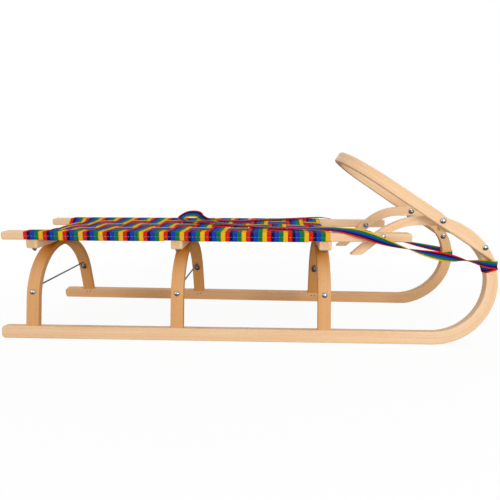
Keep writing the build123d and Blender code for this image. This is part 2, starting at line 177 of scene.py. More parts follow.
STRAP_TURNS = (               # place along the route in control points, turn of the strap in degrees
    (0.5, 82.5), (1.0, 48), (1.45, 12), (1.95, -12), (3.1, -101), (5.05, -191), (5.7, -216), (6.4, -243),
    (7.05, -272), (8.2, -298), (8.95, -328), (9.95, -340), (11.3, -360), (16.0, -360), (17.0, -378), (18.0, -412),
    (19.0, -430), (20.1, -478), (21.2, -540), (31.0, -540), (32.5, -578))
LOOP_CLEARANCE = 0.0006       # loop to the curl
STRAP_LOOPS = {"left": radians(7.5), "right": radians(17.0)}

# Fasteners
TAB_NUT = 0.0032              # leg to the nut on a tie rod's tab
HEAD_FOOT = 0.0012            # skirt of a bolt head, mostly sunk
HEAD_RISE = 0.0002            # what shows of it
WASHER_SHARE, HEXAGON_SHARE, STUD_SHARE = 0.72, 0.577, 0.28    # radii, in widths of the nut
WASHER = 0.0011
STUD_REACH = 1.45             # length of a bolt's end, in heights of its nut
STUD_TIP = 0.0010
NAIL_STEPS = (-0.004, 0.006)
NAIL_HEIGHT = 0.023
NAIL_RISE = 0.0007

# Stage
CAMERA_LENS = 30.673          # millimetres on a 36 mm sensor
CAMERA_PLACE = (0.0742, -1.1429, 0.4268)
CAMERA_PITCH, CAMERA_YAW, CAMERA_ROLL = 0.2012, -0.0564, -0.0022
FLOOR_RADIUS, FLOOR_LEVEL = 5, -0.0005
LAMP_AIM = (0, 0, 0.15)
LAMPS = {"key": (1.1, (1.1, -2.3, 1.0)), "top": (1.8, (0.1, 0.2, 2.4)), "fill": (1.8, (-1.8, -1.5, 1.2))}


def colour(red, green, blue):
    """A colour given in display values from 0 to 255, as Blender's linear values."""
    values = [value / 255 for value in (red, green, blue)]
    return tuple(v / 12.92 if v <= 0.04045 else ((v + 0.055) / 1.055) ** 2.4 for v in values)


def tint(name, description, *values):
    return FloatVectorProperty(name=name, description=description, size=3, subtype="COLOR", min=0, max=1,
                               default=colour(*values))


def size(name, description, default):
    return FloatProperty(name=name, description=description, default=default, min=0, unit="LENGTH",
                         subtype="DISTANCE", precision=4)


class SledWood(bpy.types.PropertyGroup):
    """Finish of the bent wood."""
    light: tint("Light wood", "Wood between the growth lines", 249, 217, 180)
    dark: tint("Dark wood", "Growth lines", 238, 194, 146)
    fleck: tint("Flecks", "Short pores along the grain", 176, 122, 74)
    end: tint("End grain", "Cut ends of the bars", 226, 186, 140)
    # Warm colour: partly the arches' own warmer wood, partly painted shade under the crossbars and on the sled's far
    # side
    warm_and_shade: tint("Warm wood", "Colour that some bars lean to", 209, 134, 26)
    edge: size("Edge", "Radius of the bars' long edges", 0.0024)


class SledWebbing(bpy.types.PropertyGroup):
    """Woven straps of the seat and the pull strap."""
    red: tint("Red", "First stripe", 232, 36, 24)
    indigo: tint("Indigo", "Second stripe", 30, 14, 70)
    blue: tint("Blue", "Third stripe", 22, 66, 180)
    green: tint("Green", "Fourth stripe", 20, 122, 66)
    yellow: tint("Yellow", "Fifth stripe", 252, 192, 28)
    thread: tint("Thread", "Sewing thread", 168, 180, 206)
    thickness: size("Thickness", "Thickness of the seat's straps", 0.0012)
    pull_width: size("Pull strap width", "Width of the pull strap", 0.021)
    pull_thickness: size("Pull strap thickness", "Thickness of the pull strap", 0.0015)
    stitch: size("Stitch", "Length of a stitch", 0.0060)


class SledMetal(bpy.types.PropertyGroup):
    """Bolts, nuts, nails and tie rods."""
    zinc: tint("Zinc", "Plated bolts and nuts", 176, 178, 182)
    rod: tint("Rod", "Steel of the tie rods", 128, 126, 124)
    nail_head: tint("Nails", "Steel of the nails", 84, 80, 78)
    rod_width: size("Rod width", "Diameter of a tie rod", 0.0042)
    head: size("Head", "Diameter of a round bolt head", 0.0138)
    head_height: size("Head height", "Height of a round bolt head", 0.0042)
    nut: size("Nut", "Width of a nut across its flats", 0.010)
    nut_height: size("Nut height", "Height of a nut", 0.005)
    nail: size("Nail", "Diameter of a nail head", 0.0034)


class SledStage(bpy.types.PropertyGroup):
    """Camera, light and floor."""
    floor: tint("Floor", "Colour of the floor", 250, 250, 250)
    key: FloatProperty(name="Key lamp", description="Power of the lamp at the front right", default=31.0,
                       unit="POWER")
    top: FloatProperty(name="Top lamp", description="Power of the large lamp overhead", default=11.0, unit="POWER")
    fill: FloatProperty(name="Fill lamp", description="Power of the lamp at the front left", default=11.0,
                        unit="POWER")
    sky: FloatProperty(name="Sky", description="Strength of the even light", default=0.41, min=0)


def add_node(tree, kind, inputs=None, **settings):
    """A new node with its settings, its inputs set to values or linked to other nodes' outputs."""
    node = tree.nodes.new(kind)
    for name, value in settings.items():
        setattr(node, name, value)
    for key, value in (inputs or {}).items():
        if isinstance(value, bpy.types.NodeSocket):
            tree.links.new(value, node.inputs[key])
        else:
            node.inputs[key].default_value = value
    return node


def math(tree, operation, first, second=0.0):
    return add_node(tree, "ShaderNodeMath", {0: first, 1: second}, operation=operation).outputs[0]


def mix(tree, factor, first, second, mode="MIX"):
    """Two colours mixed by a factor."""
    first, second = [(*value, 1) if isinstance(value, tuple) else value for value in (first, second)]
    inputs = {0: factor, 6: first, 7: second}
    return add_node(tree, "ShaderNodeMix", inputs, data_type="RGBA", blend_type=mode).outputs[2]


def spread(tree, value, low, high, to_low=0.0, to_high=1.0):
    """A value moved from one range to another and clamped."""
    node = add_node(tree, "ShaderNodeMapRange", {"Value": value, "From Min": low, "From Max": high,
                                                 "To Min": to_low, "To Max": to_high})
    return node.outputs["Result"]


def noise(tree, vector, scale, detail=2.0, roughness=0.5):
    """Noise stretched by a scale for each axis."""
    place = add_node(tree, "ShaderNodeMapping", {"Vector": vector, "Scale": scale})
    inputs = {"Vector": place.outputs["Vector"], "Scale": 1.0, "Detail": detail, "Roughness": roughness}
    return add_node(tree, "ShaderNodeTexNoise", inputs).outputs["Fac"]


def kept(make):
    """Makes the material of a name once, and gives the same one after that."""
    def material(name, *settings):
        if name not in bpy.data.materials:
            new = bpy.data.materials.new(name)
            new.use_nodes = True
            make(new.node_tree, *settings)
        return bpy.data.materials[name]
    return material


def dress(tree, shade, rough, height, relief, **settings):
    """Gives the shader its colour, roughness, relief of this strength and depth, and other settings."""
    strength, depth = relief
    bump = add_node(tree, "ShaderNodeBump", {"Strength": strength, "Distance": depth, "Height": height})
    inputs = tree.nodes["Principled BSDF"].inputs
    for name, value in (("Base Color", shade), ("Roughness", rough), ("Normal", bump.outputs["Normal"])):
        tree.links.new(value, inputs[name])
    for name, value in settings.items():
        inputs[name.replace("_", " ")].default_value = value


@kept
def wood_material(tree, wood):
    """Pale lacquered wood whose grain follows each bar round its bends."""
    grain = add_node(tree, "ShaderNodeAttribute", attribute_name="grain").outputs["Vector"]
    end = add_node(tree, "ShaderNodeAttribute", attribute_name="end").outputs["Fac"]
    tone = add_node(tree, "ShaderNodeAttribute", attribute_name="tone").outputs["Fac"]
    waver = noise(tree, grain, (5.0, 22.0, 22.0), 2.0)
    sway = add_node(tree, "ShaderNodeCombineXYZ", {"Y": math(tree, "MULTIPLY", waver, 0.010)}).outputs[0]
    lines_at = add_node(tree, "ShaderNodeVectorMath", {0: grain, 1: sway}, operation="ADD").outputs[0]
    lines = noise(tree, lines_at, (1.6, 330.0, 150.0), 3.0, 0.6)
    broad = noise(tree, grain, (2.4, 60.0, 60.0), 2.0)
    fibre = noise(tree, grain, (40.0, 1500.0, 1500.0), 2.0, 0.6)
    pores = noise(tree, grain, (150.0, 1300.0, 1300.0), 1.0)
    patch = noise(tree, grain, (3.0, 9.0, 9.0), 1.0)
    shade = mix(tree, spread(tree, lines, 0.38, 0.74), tuple(wood.light), tuple(wood.dark))
    shade = mix(tree, spread(tree, broad, 0.45, 0.75, 0.0, 0.55), shade, tuple(wood.dark))
    shade = mix(tree, spread(tree, patch, 0.35, 0.70, 0.0, 0.26), shade, (0.93, 0.70, 0.46), "MULTIPLY")
    # The tone attribute mixes in the warm colour: partly the bars' own warmer wood, partly painted shade under the
    # crossbars and on the far side
    shade = mix(tree, tone, shade, tuple(wood.warm_and_shade))
    shade = mix(tree, spread(tree, fibre, 0.35, 0.70, 0.0, 0.12), shade, tuple(wood.fleck))
    shade = mix(tree, spread(tree, pores, 0.63, 0.72, 0.0, 0.35), shade, tuple(wood.fleck))
    rings = noise(tree, grain, (2.0, 900.0, 300.0), 3.0)
    cut = mix(tree, spread(tree, rings, 0.35, 0.65, 0.0, 0.5), tuple(wood.end), tuple(wood.fleck))
    shade = mix(tree, spread(tree, end, 0.55, 1.0, 0.0, 0.60), shade, cut)
    height = math(tree, "SUBTRACT", fibre, math(tree, "MULTIPLY", pores, 0.6))
    dress(tree, shade, spread(tree, fibre, 0.3, 0.7, 0.36, 0.50), height, (0.16, 0.0004),
          Specular_IOR_Level=0.22, Coat_Weight=0.06, Coat_Roughness=0.28)


@kept
def webbing_material(tree, webbing, width, edges):
    """Woven strap: stripes between these edges across its width, ribs of weft and fine warp threads."""
    flat = add_node(tree, "ShaderNodeUVMap", uv_map="weave").outputs["UV"]
    axes = add_node(tree, "ShaderNodeSeparateXYZ", {"Vector": flat})
    across, along = axes.outputs["X"], axes.outputs["Y"]
    threads = round(width / WARP_PITCH)
    rib = math(tree, "SINE", math(tree, "MULTIPLY", along, 2 * pi / WEFT_PITCH))
    warp = math(tree, "SINE", math(tree, "MULTIPLY", across, 2 * pi * threads))
    weave = math(tree, "MULTIPLY", rib, warp)
    fuzz = noise(tree, flat, (width * 900.0, 900.0, 1.0), 2.0)
    soil = noise(tree, flat, (width * 30.0, 30.0, 1.0), 2.0)
    wander = math(tree, "MULTIPLY", math(tree, "SUBTRACT", fuzz, 0.5), 0.03)
    ramp = add_node(tree, "ShaderNodeValToRGB", {"Fac": math(tree, "ADD", across, wander)})
    stripes = ramp.color_ramp
    stripes.interpolation = "CONSTANT"
    shades = (webbing.red, webbing.indigo, webbing.blue, webbing.green, webbing.yellow)
    while len(stripes.elements) < len(shades):
        stripes.elements.new(0.5)
    for element, place, shade in zip(stripes.elements, (0.0, *edges), shades):
        element.position = place
        element.color = (*shade, 1)
    # The weave's hollows between the threads are darkened towards dark grey: painted shade
    shade = mix(tree, spread(tree, weave, -1.0, 0.4, 0.24, 0.0), ramp.outputs["Color"], (0.25, 0.22, 0.26),
                "MULTIPLY")
    shade = mix(tree, spread(tree, soil, 0.4, 0.75, 0.0, 0.18), shade, (0.62, 0.60, 0.58), "MULTIPLY")
    height = math(tree, "ADD", weave, math(tree, "MULTIPLY", fuzz, 0.8))
    dress(tree, shade, spread(tree, fuzz, 0.3, 0.7, 0.62, 0.85), height, (0.55, 0.0003),
          Specular_IOR_Level=0.06, Sheen_Weight=0.01, Sheen_Roughness=0.5)


@kept
def thread_material(tree, webbing):
    """Twisted sewing thread."""
    place = add_node(tree, "ShaderNodeTexCoord").outputs["Object"]
    twist = noise(tree, place, (2600.0, 2600.0, 900.0), 2.0)
    shade = mix(tree, spread(tree, twist, 0.35, 0.65), tuple(webbing.thread), (0.16, 0.18, 0.26))
    dress(tree, shade, spread(tree, twist, 0.3, 0.7, 0.6, 0.8), twist, (0.4, 0.0002))


@kept
def steel_material(tree, shade_colour, roughness):
    """Plated steel with soft blotches and fine scratches."""
    place = add_node(tree, "ShaderNodeTexCoord").outputs["Object"]
    blotch = noise(tree, place, (220.0, 220.0, 220.0), 3.0)
    scratch = noise(tree, place, (900.0, 5200.0, 900.0), 2.0)
    dull = tuple(value * 0.72 for value in shade_colour)
    shade = mix(tree, spread(tree, blotch, 0.35, 0.7), shade_colour, dull)
    rough = math(tree, "ADD", spread(tree, blotch, 0.3, 0.7, roughness, roughness + 0.12),
                 spread(tree, scratch, 0.55, 0.75, 0.0, 0.10))
    dress(tree, shade, rough, scratch, (0.08, 0.0002), Metallic=1.0)


def new_piece(name, mesh, material, slot, *nodes):
    """A finished piece on the sled's one body, standing for these nodes of the model."""
    piece = bpy.data.objects.new(name, mesh)
    bpy.context.scene.collection.objects.link(piece)
    if material.name not in mesh.materials:
        mesh.materials.append(material)
    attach(piece, "root")
    if nodes:
        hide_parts(*nodes)
    return piece


def smoothed(mesh, merge=False):
    """Shades a closed mesh smoothly, with its doubles merged or else with every face turned outwards."""
    work = bmesh.new()
    work.from_mesh(mesh)
    if merge:
        bmesh.ops.remove_doubles(work, verts=work.verts, dist=1e-6)
    else:
        bmesh.ops.recalc_face_normals(work, faces=work.faces)
    for face in work.faces:
        face.smooth = True
    work.to_mesh(mesh)
    work.free()
    return mesh


def skin(rings):
    """Four-sided faces between rings of points that follow one another."""
    faces = []
    for before, after in zip(rings, rings[1:]):
        for index in range(len(before)):
            following = (index + 1) % len(before)
            faces.append((before[index], before[following], after[following], after[index]))
    return faces


def section_ring(depth, width, edge, steps=3):
    """Points round a bar's section with rounded edges, as shares of its depth and width."""
    edge = min(edge, 0.45 * depth, 0.45 * width)
    ring = []
    corners = ((depth - edge, width - edge), (edge, width - edge), (edge, edge), (depth - edge, edge))
    for quarter, (down, side) in enumerate(corners):
        for step in range(steps + 1):
            angle = (quarter + step / steps) * pi / 2
            ring.append((down + edge * cos(angle), side + edge * sin(angle)))
    return ring


class Bar:
    """A wooden bar through stations of four corners: near and far at the top, far and near below.
    Each point carries its place in the straight bar, so that the grain follows the bends."""

    def __init__(self, edge, seed, tone, trim=None):
        self.edge, self.tone, self.trim = edge, tone, trim
        self.offset = Vector((seed * 3.71, seed * 0.613, seed * 0.347))
        self.points, self.grain, self.ends, self.rings = [], [], [], []

    def ring(self, corners, run, inset=(0.0, 0.0), shift=Vector((0, 0, 0)), end=0.0):
        top_near, top_far, low_far, low_near = corners
        depth = ((top_near - low_near).length + (top_far - low_far).length) / 2
        width = ((top_near - top_far).length + (low_near - low_far).length) / 2
        deep, wide = min(inset[0], 0.45 * depth), min(inset[1], 0.45 * width)
        start = len(self.points)
        for down, side in section_ring(depth - 2 * deep, width - 2 * wide, self.edge):
            down, side = down + deep, side + wide
            high = top_near.lerp(top_far, side / width)
            low = low_near.lerp(low_far, side / width)
            point = high.lerp(low, down / depth) + shift
            self.points.append(self.trim(point) if self.trim else point)
            self.grain.append(Vector((run, down, side)) + self.offset)
            self.ends.append(end)
        self.rings.append(range(start, len(self.points)))

    def end(self, corners, into, run, radii, closing):
        """The rounded end of the bar, with a radius over its depth and one over its width."""
        steps = range(7)
        for step in reversed(steps) if closing else steps:
            angle = step / 6 * pi / 2
            inset = [radius * (1 - sin(angle)) for radius in radii]
            shift = into * max(radii) * (1 - cos(angle))
            self.ring(corners, run, inset, shift, 1.0 if step == 0 else 0.0)

    def mesh(self, name, stations, ends):
        middles = [sum(corners, Vector()) / 4 for corners in stations]
        run = 0.0
        self.end(stations[0], (middles[1] - middles[0]).normalized(), run, ends[0], False)
        for index in range(1, len(stations) - 1):
            run += (middles[index] - middles[index - 1]).length
            self.ring(stations[index], run)
        run += (middles[-1] - middles[-2]).length
        self.end(stations[-1], (middles[-2] - middles[-1]).normalized(), run, ends[1], True)
        mesh = bpy.data.meshes.new(name)
        mesh.from_pydata(self.points, [], [self.rings[0], self.rings[-1]] + skin(self.rings))
        values = [value for vector in self.grain for value in vector]
        mesh.attributes.new("grain", "FLOAT_VECTOR", "POINT").data.foreach_set("vector", values)
        mesh.attributes.new("end", "FLOAT", "POINT").data.foreach_set("value", self.ends)
        # Each point's share of the warm colour, which is partly painted shade
        tone_and_shade_values = [self.tone(point) if self.tone else 0.0 for point in self.points]
        mesh.attributes.new("tone", "FLOAT", "POINT").data.foreach_set("value", tone_and_shade_values)
        return smoothed(mesh)


def wooden(name, stations, wood, seed, *nodes, ends=(SMALL_END, SMALL_END), trim=None, edge=None, tone=None):
    """A finished wooden bar through these stations."""
    mesh = Bar(edge or wood.edge, seed, tone, trim).mesh(name, stations, ends)
    piece = new_piece(name, mesh, wood_material("Bentwood", wood), "wood", *nodes)
    piece.modifiers.new("Even shading", "WEIGHTED_NORMAL").keep_sharp = True
    return piece


def other_side(stations):
    """Mirror images of these stations, on the right of the sled."""
    return [[Vector((point.x, -point.y, point.z)) for point in corners] for corners in stations]


def runner_point(x, y, z):
    """A point in the left runner's own upright frame, put where the leaning runner stands."""
    side = y * cos(RUNNER_LEAN) - z * sin(RUNNER_LEAN)
    height = y * sin(RUNNER_LEAN) + z * cos(RUNNER_LEAN)
    return Vector((x * cos(RUNNER_TOE) + side * sin(RUNNER_TOE),
                   RUNNER_SPREAD - x * sin(RUNNER_TOE) + side * cos(RUNNER_TOE), height))


def runner_face(x, z, inset):
    """Distance from the middle line to a face of the runner, this far in from its outer face."""
    up = (z + inset * sin(RUNNER_LEAN)) / cos(RUNNER_LEAN)
    return runner_point(x, -inset, up).y


def rail_outer(x):
    return RAIL_SPREAD - x * tan(RAIL_TOE)


def bend_line(first, corner, last, radius, counts):
    """Points along two straight lines joined by an arc, with so many points on each of the three."""
    first, corner, last = [Vector(point) for point in (first, corner, last)]
    back, on = (first - corner).normalized(), (last - corner).normalized()
    half = back.angle(on) / 2
    reach = radius / tan(half)
    centre = corner + (back + on).normalized() * (radius / sin(half))
    start, stop = corner + back * reach, corner + on * reach
    points = [first.lerp(start, step / counts[0]) for step in range(counts[0])]
    swing = (start - centre).angle_signed(stop - centre)
    for step in range(counts[1] + 1):
        arm = (start - centre).copy()
        arm.rotate(Matrix.Rotation(-swing * step / counts[1], 2))
        points.append(centre + arm)
    points += [stop.lerp(last, (step + 1) / counts[2]) for step in range(counts[2])]
    return points


def runner_stations():
    stations = []
    def add(top, low):
        stations.append([runner_point(top[0], 0, top[1]), runner_point(top[0], -RUNNER_WIDTH, top[1]),
                         runner_point(low[0], -RUNNER_WIDTH, low[1]), runner_point(low[0], 0, low[1])])
    for step in range(30):
        x = RUNNER_REAR + (CURL_START - RUNNER_REAR) * step / 30
        add((x, RUNNER_HEIGHT), (x, 0))
    inner_end = acos((CURL_TIP - CURL_START) / CURL_INNER_RADIUS)
    for step in range(61):
        outer = -pi / 2 + (pi / 2 + CURL_END) * step / 60
        inner = -pi / 2 + (pi / 2 + inner_end) * step / 60
        add((CURL_START + CURL_INNER_RADIUS * cos(inner),
             RUNNER_HEIGHT + CURL_INNER_RADIUS * (1 + sin(inner))),
            (CURL_START + CURL_RADIUS * cos(outer), CURL_RADIUS * (1 + sin(outer))))
    return stations


def arch_arc(place):
    """Centre and middle radius of an arch's shoulders, and its foot's distance from the middle line."""
    foot = runner_point(place, -RUNNER_WIDTH / 2, RUNNER_HEIGHT).y
    shoulder = foot - (ARCH_TOP - ARCH_THICKNESS / 2 - RUNNER_HEIGHT) * tan(ARCH_LEAN)
    half_turn = (pi / 2 - ARCH_LEAN) / 2
    radius = ARCH_CROWN * shoulder / tan(half_turn)
    return shoulder - radius * tan(half_turn), ARCH_TOP - ARCH_THICKNESS / 2 - radius, radius, foot


def arch_stations(place):
    centre_y, centre_z, radius, foot = arch_arc(place)
    half = ARCH_THICKNESS / 2
    line = []
    start = centre_z + radius * sin(ARCH_LEAN)
    for step in range(12):
        z = ARCH_FOOT + (start - ARCH_FOOT) * step / 12
        y = foot - (z - RUNNER_HEIGHT) * tan(ARCH_LEAN)
        line.append((y, z, ARCH_LEAN))
    for step in range(31):
        angle = ARCH_LEAN + (pi / 2 - ARCH_LEAN) * step / 30
        line.append((centre_y + radius * cos(angle), centre_z + radius * sin(angle), angle))
    line += [(-y, z, pi - angle) for y, z, angle in reversed(line)]
    stations = []
    for y, z, angle in line:
        out = Vector((0, cos(angle), sin(angle))) * half
        middle, side = Vector((place, y, z)), Vector((ARCH_WIDTH / 2, 0, 0))
        stations.append([middle + out - side, middle + out + side, middle - out + side, middle - out - side])
    return stations


def crossbar_stations(place):
    half = rail_outer(place) - CROSSBAR_INSET
    side = CROSSBAR_WIDTH / 2
    stations = []
    ends = [0.0, 0.002, 0.0032, 0.0046, CROSSBAR_CORNER]
    middle = [half * (0.9 - 0.1 * step) for step in range(10)]
    line = [half - end for end in ends] + middle
    line = line + [-y for y in reversed(line[:-1])]
    for y in line:
        gap = max(0.0, CROSSBAR_CORNER - (half - abs(y)))
        cut = CROSSBAR_CORNER - sqrt(CROSSBAR_CORNER ** 2 - gap ** 2)
        low, wide = CROSSBAR_BOTTOM + cut, side - CROSSBAR_SIDE_CUT * cut
        stations.append([Vector((place + x, y, z)) for x, z in (
            (-wide, RAIL_BOTTOM), (wide, RAIL_BOTTOM), (wide, low), (-wide, low))])
    return stations


def rail_stations(side):
    stations = []
    for step in range(41):
        x = RAIL_REAR + (RAIL_FRONT[side] - RAIL_REAR) * step / 40
        outer = rail_outer(x)
        stations.append([Vector((x, y, z)) for y, z in (
            (outer, RAIL_TOP), (outer - RAIL_WIDTH, RAIL_TOP), (outer - RAIL_WIDTH, RAIL_BOTTOM),
            (outer, RAIL_BOTTOM))])
    return stations if side == "left" else other_side(stations)


def brace_seat(x, z):
    """Distance from the middle line to the faces that a brace lies on: the rail's, then the runner's."""
    front = RAIL_FRONT["right"]
    if x <= front:
        return rail_outer(x) - RAIL_WIDTH
    share = min(1.0, (x - front) / (CURL_TIP - front))
    rail = rail_outer(front) - RAIL_WIDTH
    return rail + share * (runner_face(max(x, CURL_TIP), z, RUNNER_WIDTH) - rail)


def brace_stations(side):
    rise = tan(BRACE_SLOPE)
    foot, corner, low = BRACE_FOOT[side], BRACE_CORNER[side], BRACE_TOP - BRACE_DEPTH
    low_corner = corner + (BRACE_BEND_DEPTH / cos(BRACE_SLOPE) - BRACE_DEPTH) / rise
    low_front = BRACE_FRONT + BRACE_DEPTH / tan(HORN_SLOPE)
    heel = corner - (BRACE_TOP - foot) / rise
    upper = bend_line((heel, foot), (corner, BRACE_TOP), (BRACE_FRONT, BRACE_TOP), BRACE_BEND[side], (10, 20, 6))
    lower = bend_line((heel + BRACE_FOOT_DEPTH / sin(BRACE_SLOPE), foot), (low_corner, low), (low_front, low),
                      BRACE_LOWER_BEND, (10, 20, 6))
    stations = []
    for over, under in zip(upper, lower):
        corners = []
        for point, inner in ((over, False), (over, True), (under, True), (under, False)):
            y = brace_seat(point.x, low) - BRACE_THICKNESS if inner else brace_seat(point.x, point.y)
            corners.append(Vector((point.x, y, point.y)))
        stations.append(corners)
    return stations if side == "left" else other_side(stations)


def horn_rise(low, side):
    """How far above the leg's lower edge its rounded end lies, on the leg's inner or outer face."""
    def outside(reach):
        x = low.x + reach * sin(HORN_SLOPE) - HORN_ARC_CENTRE[0]
        up = low.z + reach * cos(HORN_SLOPE) - side * sin(RUNNER_LEAN)
        return x * x + (up / cos(RUNNER_LEAN) - HORN_ARC_CENTRE[1]) ** 2 > HORN_ARC_RADIUS ** 2
    short, long = 0.0, 0.05
    for _ in range(30):
        half = (short + long) / 2
        short, long = (short, half) if outside(half) else (half, long)
    return short


def reached(x, start, run):
    """Share from 0 to 1 over this run from a start."""
    return min(1.0, max(0.0, (x - start) / run))


def horn_stations():
    """Stations from the left leg's end round the hoop to the right leg's end."""
    end = runner_point(HORN_ARC_CENTRE[0] + HORN_ARC_RADIUS * cos(HORN_END_ANGLE), 0,
                       HORN_ARC_CENTRE[1] + HORN_ARC_RADIUS * sin(HORN_END_ANGLE))
    length = (end.x - HORN_TIP) / cos(HORN_SLOPE)
    taper = tan(HORN_TAPER)
    lines = []
    for inset in (0.0, HORN_THICKNESS + HORN_TRIM):
        half_end = end.y + HORN_THICKNESS - inset / cos(HORN_TAPER)
        tip = -length + inset
        half_tip = half_end + tip * taper
        radius = HORN_CROWN * half_tip / tan((pi / 2 - HORN_TAPER) / 2)
        foot = (-HORN_SETBACK, half_end - HORN_SETBACK * taper)
        lines.append(bend_line(foot, (tip, half_tip), (tip, 0.0), radius, (70, 40, 2)))
    up = Vector((sin(HORN_SLOPE), 0, cos(HORN_SLOPE)))
    forward = Vector((cos(HORN_SLOPE), 0, -sin(HORN_SLOPE)))
    start = Vector((end.x, 0, end.z))
    half = []
    for outer, inner in zip(*lines):
        corners = []
        for along, side, level in ((outer, HORN_THICKNESS, 1), (inner, 0.0, 1), (inner, 0.0, 0),
                                   (outer, HORN_THICKNESS, 0)):
            low = start + forward * along.x
            round_end = horn_rise(low, side)
            share = reached(low.x, *HORN_CHEEK)
            depth = HORN_DEPTH + (round_end - HORN_DEPTH) * share
            point = low + up * depth * level
            y = along.y
            if side == 0.0:
                seat = runner_face(point.x, point.z, 0.0)
                y += (seat - y) * reached(point.x, *HORN_SEAT)
            corners.append(Vector((point.x, y, point.z)))
        half.append(corners)
    return half + other_side(reversed(half[:-1]))


class Ribbon:
    """A flat strap through stations of middle, width direction and face direction. Its map runs from
    0 to 1 across the strap and in metres along it."""

    def __init__(self, name):
        self.name, self.points, self.map, self.faces = name, [], [], []
        self.length = 0.0

    def add(self, stations, width, thickness, closed=False, fall=None):
        base, run, before = len(self.points), 0.0, None
        section = [(-0.5, 0.0)] + [(side, 0.5) for side in (-0.47, -0.3, -0.15, 0.0, 0.15, 0.3, 0.47)]
        section += [(-side, -lift) for side, lift in section]
        count = len(section)
        for index, (middle, across, up) in enumerate(stations):
            run += (middle - before).length if before else 0.0
            before = middle
            wide = width[index] if isinstance(width, list) else width
            for side, lift in section:
                point = middle + across * (side * wide) + up * (lift * thickness)
                self.points.append(point - Vector((0, 0, fall(point.x, point.y))) if fall else point)
                self.map.append((side + 0.5, run))
        rings = [range(start, start + count) for start in range(base, len(self.points), count)]
        self.faces += skin(rings + rings[:1]) if closed else skin(rings) + [rings[0], rings[-1]]
        self.length += run

    def mesh(self):
        mesh = bpy.data.meshes.new(self.name)
        mesh.from_pydata(self.points, [], self.faces)
        layer = mesh.uv_layers.new(name="weave")
        for loop in mesh.loops:
            layer.data[loop.index].uv = self.map[loop.vertex_index]
        return smoothed(mesh)


def smooth_step(share):
    share = min(1.0, max(0.0, share))
    return share * share * (3 - 2 * share)


def strap_turn(place):
    """Turn of the pull strap about its own line, at this place along its control points."""
    slopes = [(later[1] - former[1]) / (later[0] - former[0]) for former, later in zip(STRAP_TURNS, STRAP_TURNS[1:])]
    eased = [0.0] + [(a + b) / 2 if a * b > 0 else 0.0 for a, b in zip(slopes, slopes[1:])] + [0.0]
    for index, (start, first) in enumerate(STRAP_TURNS[:-1]):
        stop, last = STRAP_TURNS[index + 1]
        if place <= stop:
            run = stop - start
            share = max(0.0, (place - start) / run)
            bulge = share * (1 - share) * run
            leave, arrive = eased[index] - slopes[index], eased[index + 1] - slopes[index]
            return radians(first + (last - first) * share + bulge * (leave * (1 - share) - arrive * share))
    return radians(STRAP_TURNS[-1][1])


def strap_line():
    """Points along the pull strap's smooth line, from its control points."""
    curve = bpy.data.curves.new("pull strap line", "CURVE")
    curve.dimensions = "3D"
    spline = curve.splines.new("NURBS")
    spline.points.add(len(STRAP_ROUTE) - 1)
    for point, spot in zip(spline.points, STRAP_ROUTE):
        point.co = (*spot, 1)
    spline.order_u = 3
    spline.use_endpoint_u = True
    spline.resolution_u = 12
    holder = bpy.data.objects.new("pull strap line", curve)
    mesh = bpy.data.meshes.new_from_object(holder)
    points = [vertex.co.copy() for vertex in mesh.vertices]
    bpy.data.objects.remove(holder)
    bpy.data.curves.remove(curve)
    bpy.data.meshes.remove(mesh)
    return points


def strap_stations(points):
    stations = []
    for index, point in enumerate(points):
        along = (points[min(index + 1, len(points) - 1)] - points[max(index - 1, 0)]).normalized()
        level = along.cross(Vector((0, 0, 1))).normalized()
        upright = level.cross(along).normalized()
        turn = strap_turn(index / (len(points) - 1) * (len(STRAP_ROUTE) - 2) + 0.5)
        stations.append((point, level * cos(turn) + upright * sin(turn),
                         upright * cos(turn) - level * sin(turn)))
    return stations


def loop_stations(angle, thickness, mirrored):
    """The strap's end round the curl: a closed ring about the bar's section."""
    out, along = (cos(angle), sin(angle)), (-sin(angle), cos(angle))
    gap = LOOP_CLEARANCE + thickness / 2
    near, far = CURL_INNER_RADIUS + CURL_OFFSET * sin(angle) - gap, CURL_RADIUS + gap
    left, right = gap, -RUNNER_WIDTH - gap
    corner = STRAP_CORNER
    ring = []
    corners = ((far - corner, left - corner, 0), (near + corner, left - corner, 1),
               (near + corner, right + corner, 2), (far - corner, right + corner, 3))
    for reach, side, quarter in corners:
        for step in range(7):
            turn = (quarter + step / 6) * pi / 2
            ring.append((reach + corner * cos(turn), side + corner * sin(turn), turn))
    stations = []
    for reach, side, turn in ring:
        spot = (CURL_START + out[0] * reach, side, CURL_RADIUS + out[1] * reach)
        middle = runner_point(*spot)
        across = runner_point(spot[0] + along[0], side, spot[2] + along[1]) - middle
        face = runner_point(spot[0] + out[0] * cos(turn), side + sin(turn), spot[2] + out[1] * cos(turn)) - middle
        stations.append([middle, across, face])
    return other_side(stations) if mirrored else stations


def strap_level(index, lane, thickness):
    """Height of a cross strap over the field's middle where it crosses a long strap."""
    step = (thickness + WEAVE_CLEARANCE) / 2
    return step if (index + lane) % 2 else -step


def lane_middle(lane):
    return (lane - (LONG_STRAP_COUNT - 1) / 2) * LONG_STRAP_PITCH


def seat_fall(x, y):
    """How far the woven field lies below the rails' tops: taut along its middle, slack at its two ends."""
    edge = rail_outer(x) - RAIL_WIDTH + FIELD_OVERLAP
    if abs(y) >= edge:
        return 0.0
    rear, front = x - STRAP_REAR, STRAP_REAR + STRAP_COUNT * STRAP_PITCH - x
    deep = WEAVE_DROP + SLACK_REAR * exp(-rear / SLACK_REACH) + SLACK_FRONT * exp(-front / SLACK_REACH)
    return min(FIELD_FALL, deep * (1 - (abs(y) / edge) ** FIELD_FLATNESS))


def directions(line):
    """Each point of a flat line, with the line's direction there."""
    for place, point in enumerate(line):
        before, after = line[max(place - 1, 0)], line[min(place + 1, len(line) - 1)]
        yield point, Vector((after[0] - before[0], after[1] - before[1])).normalized()


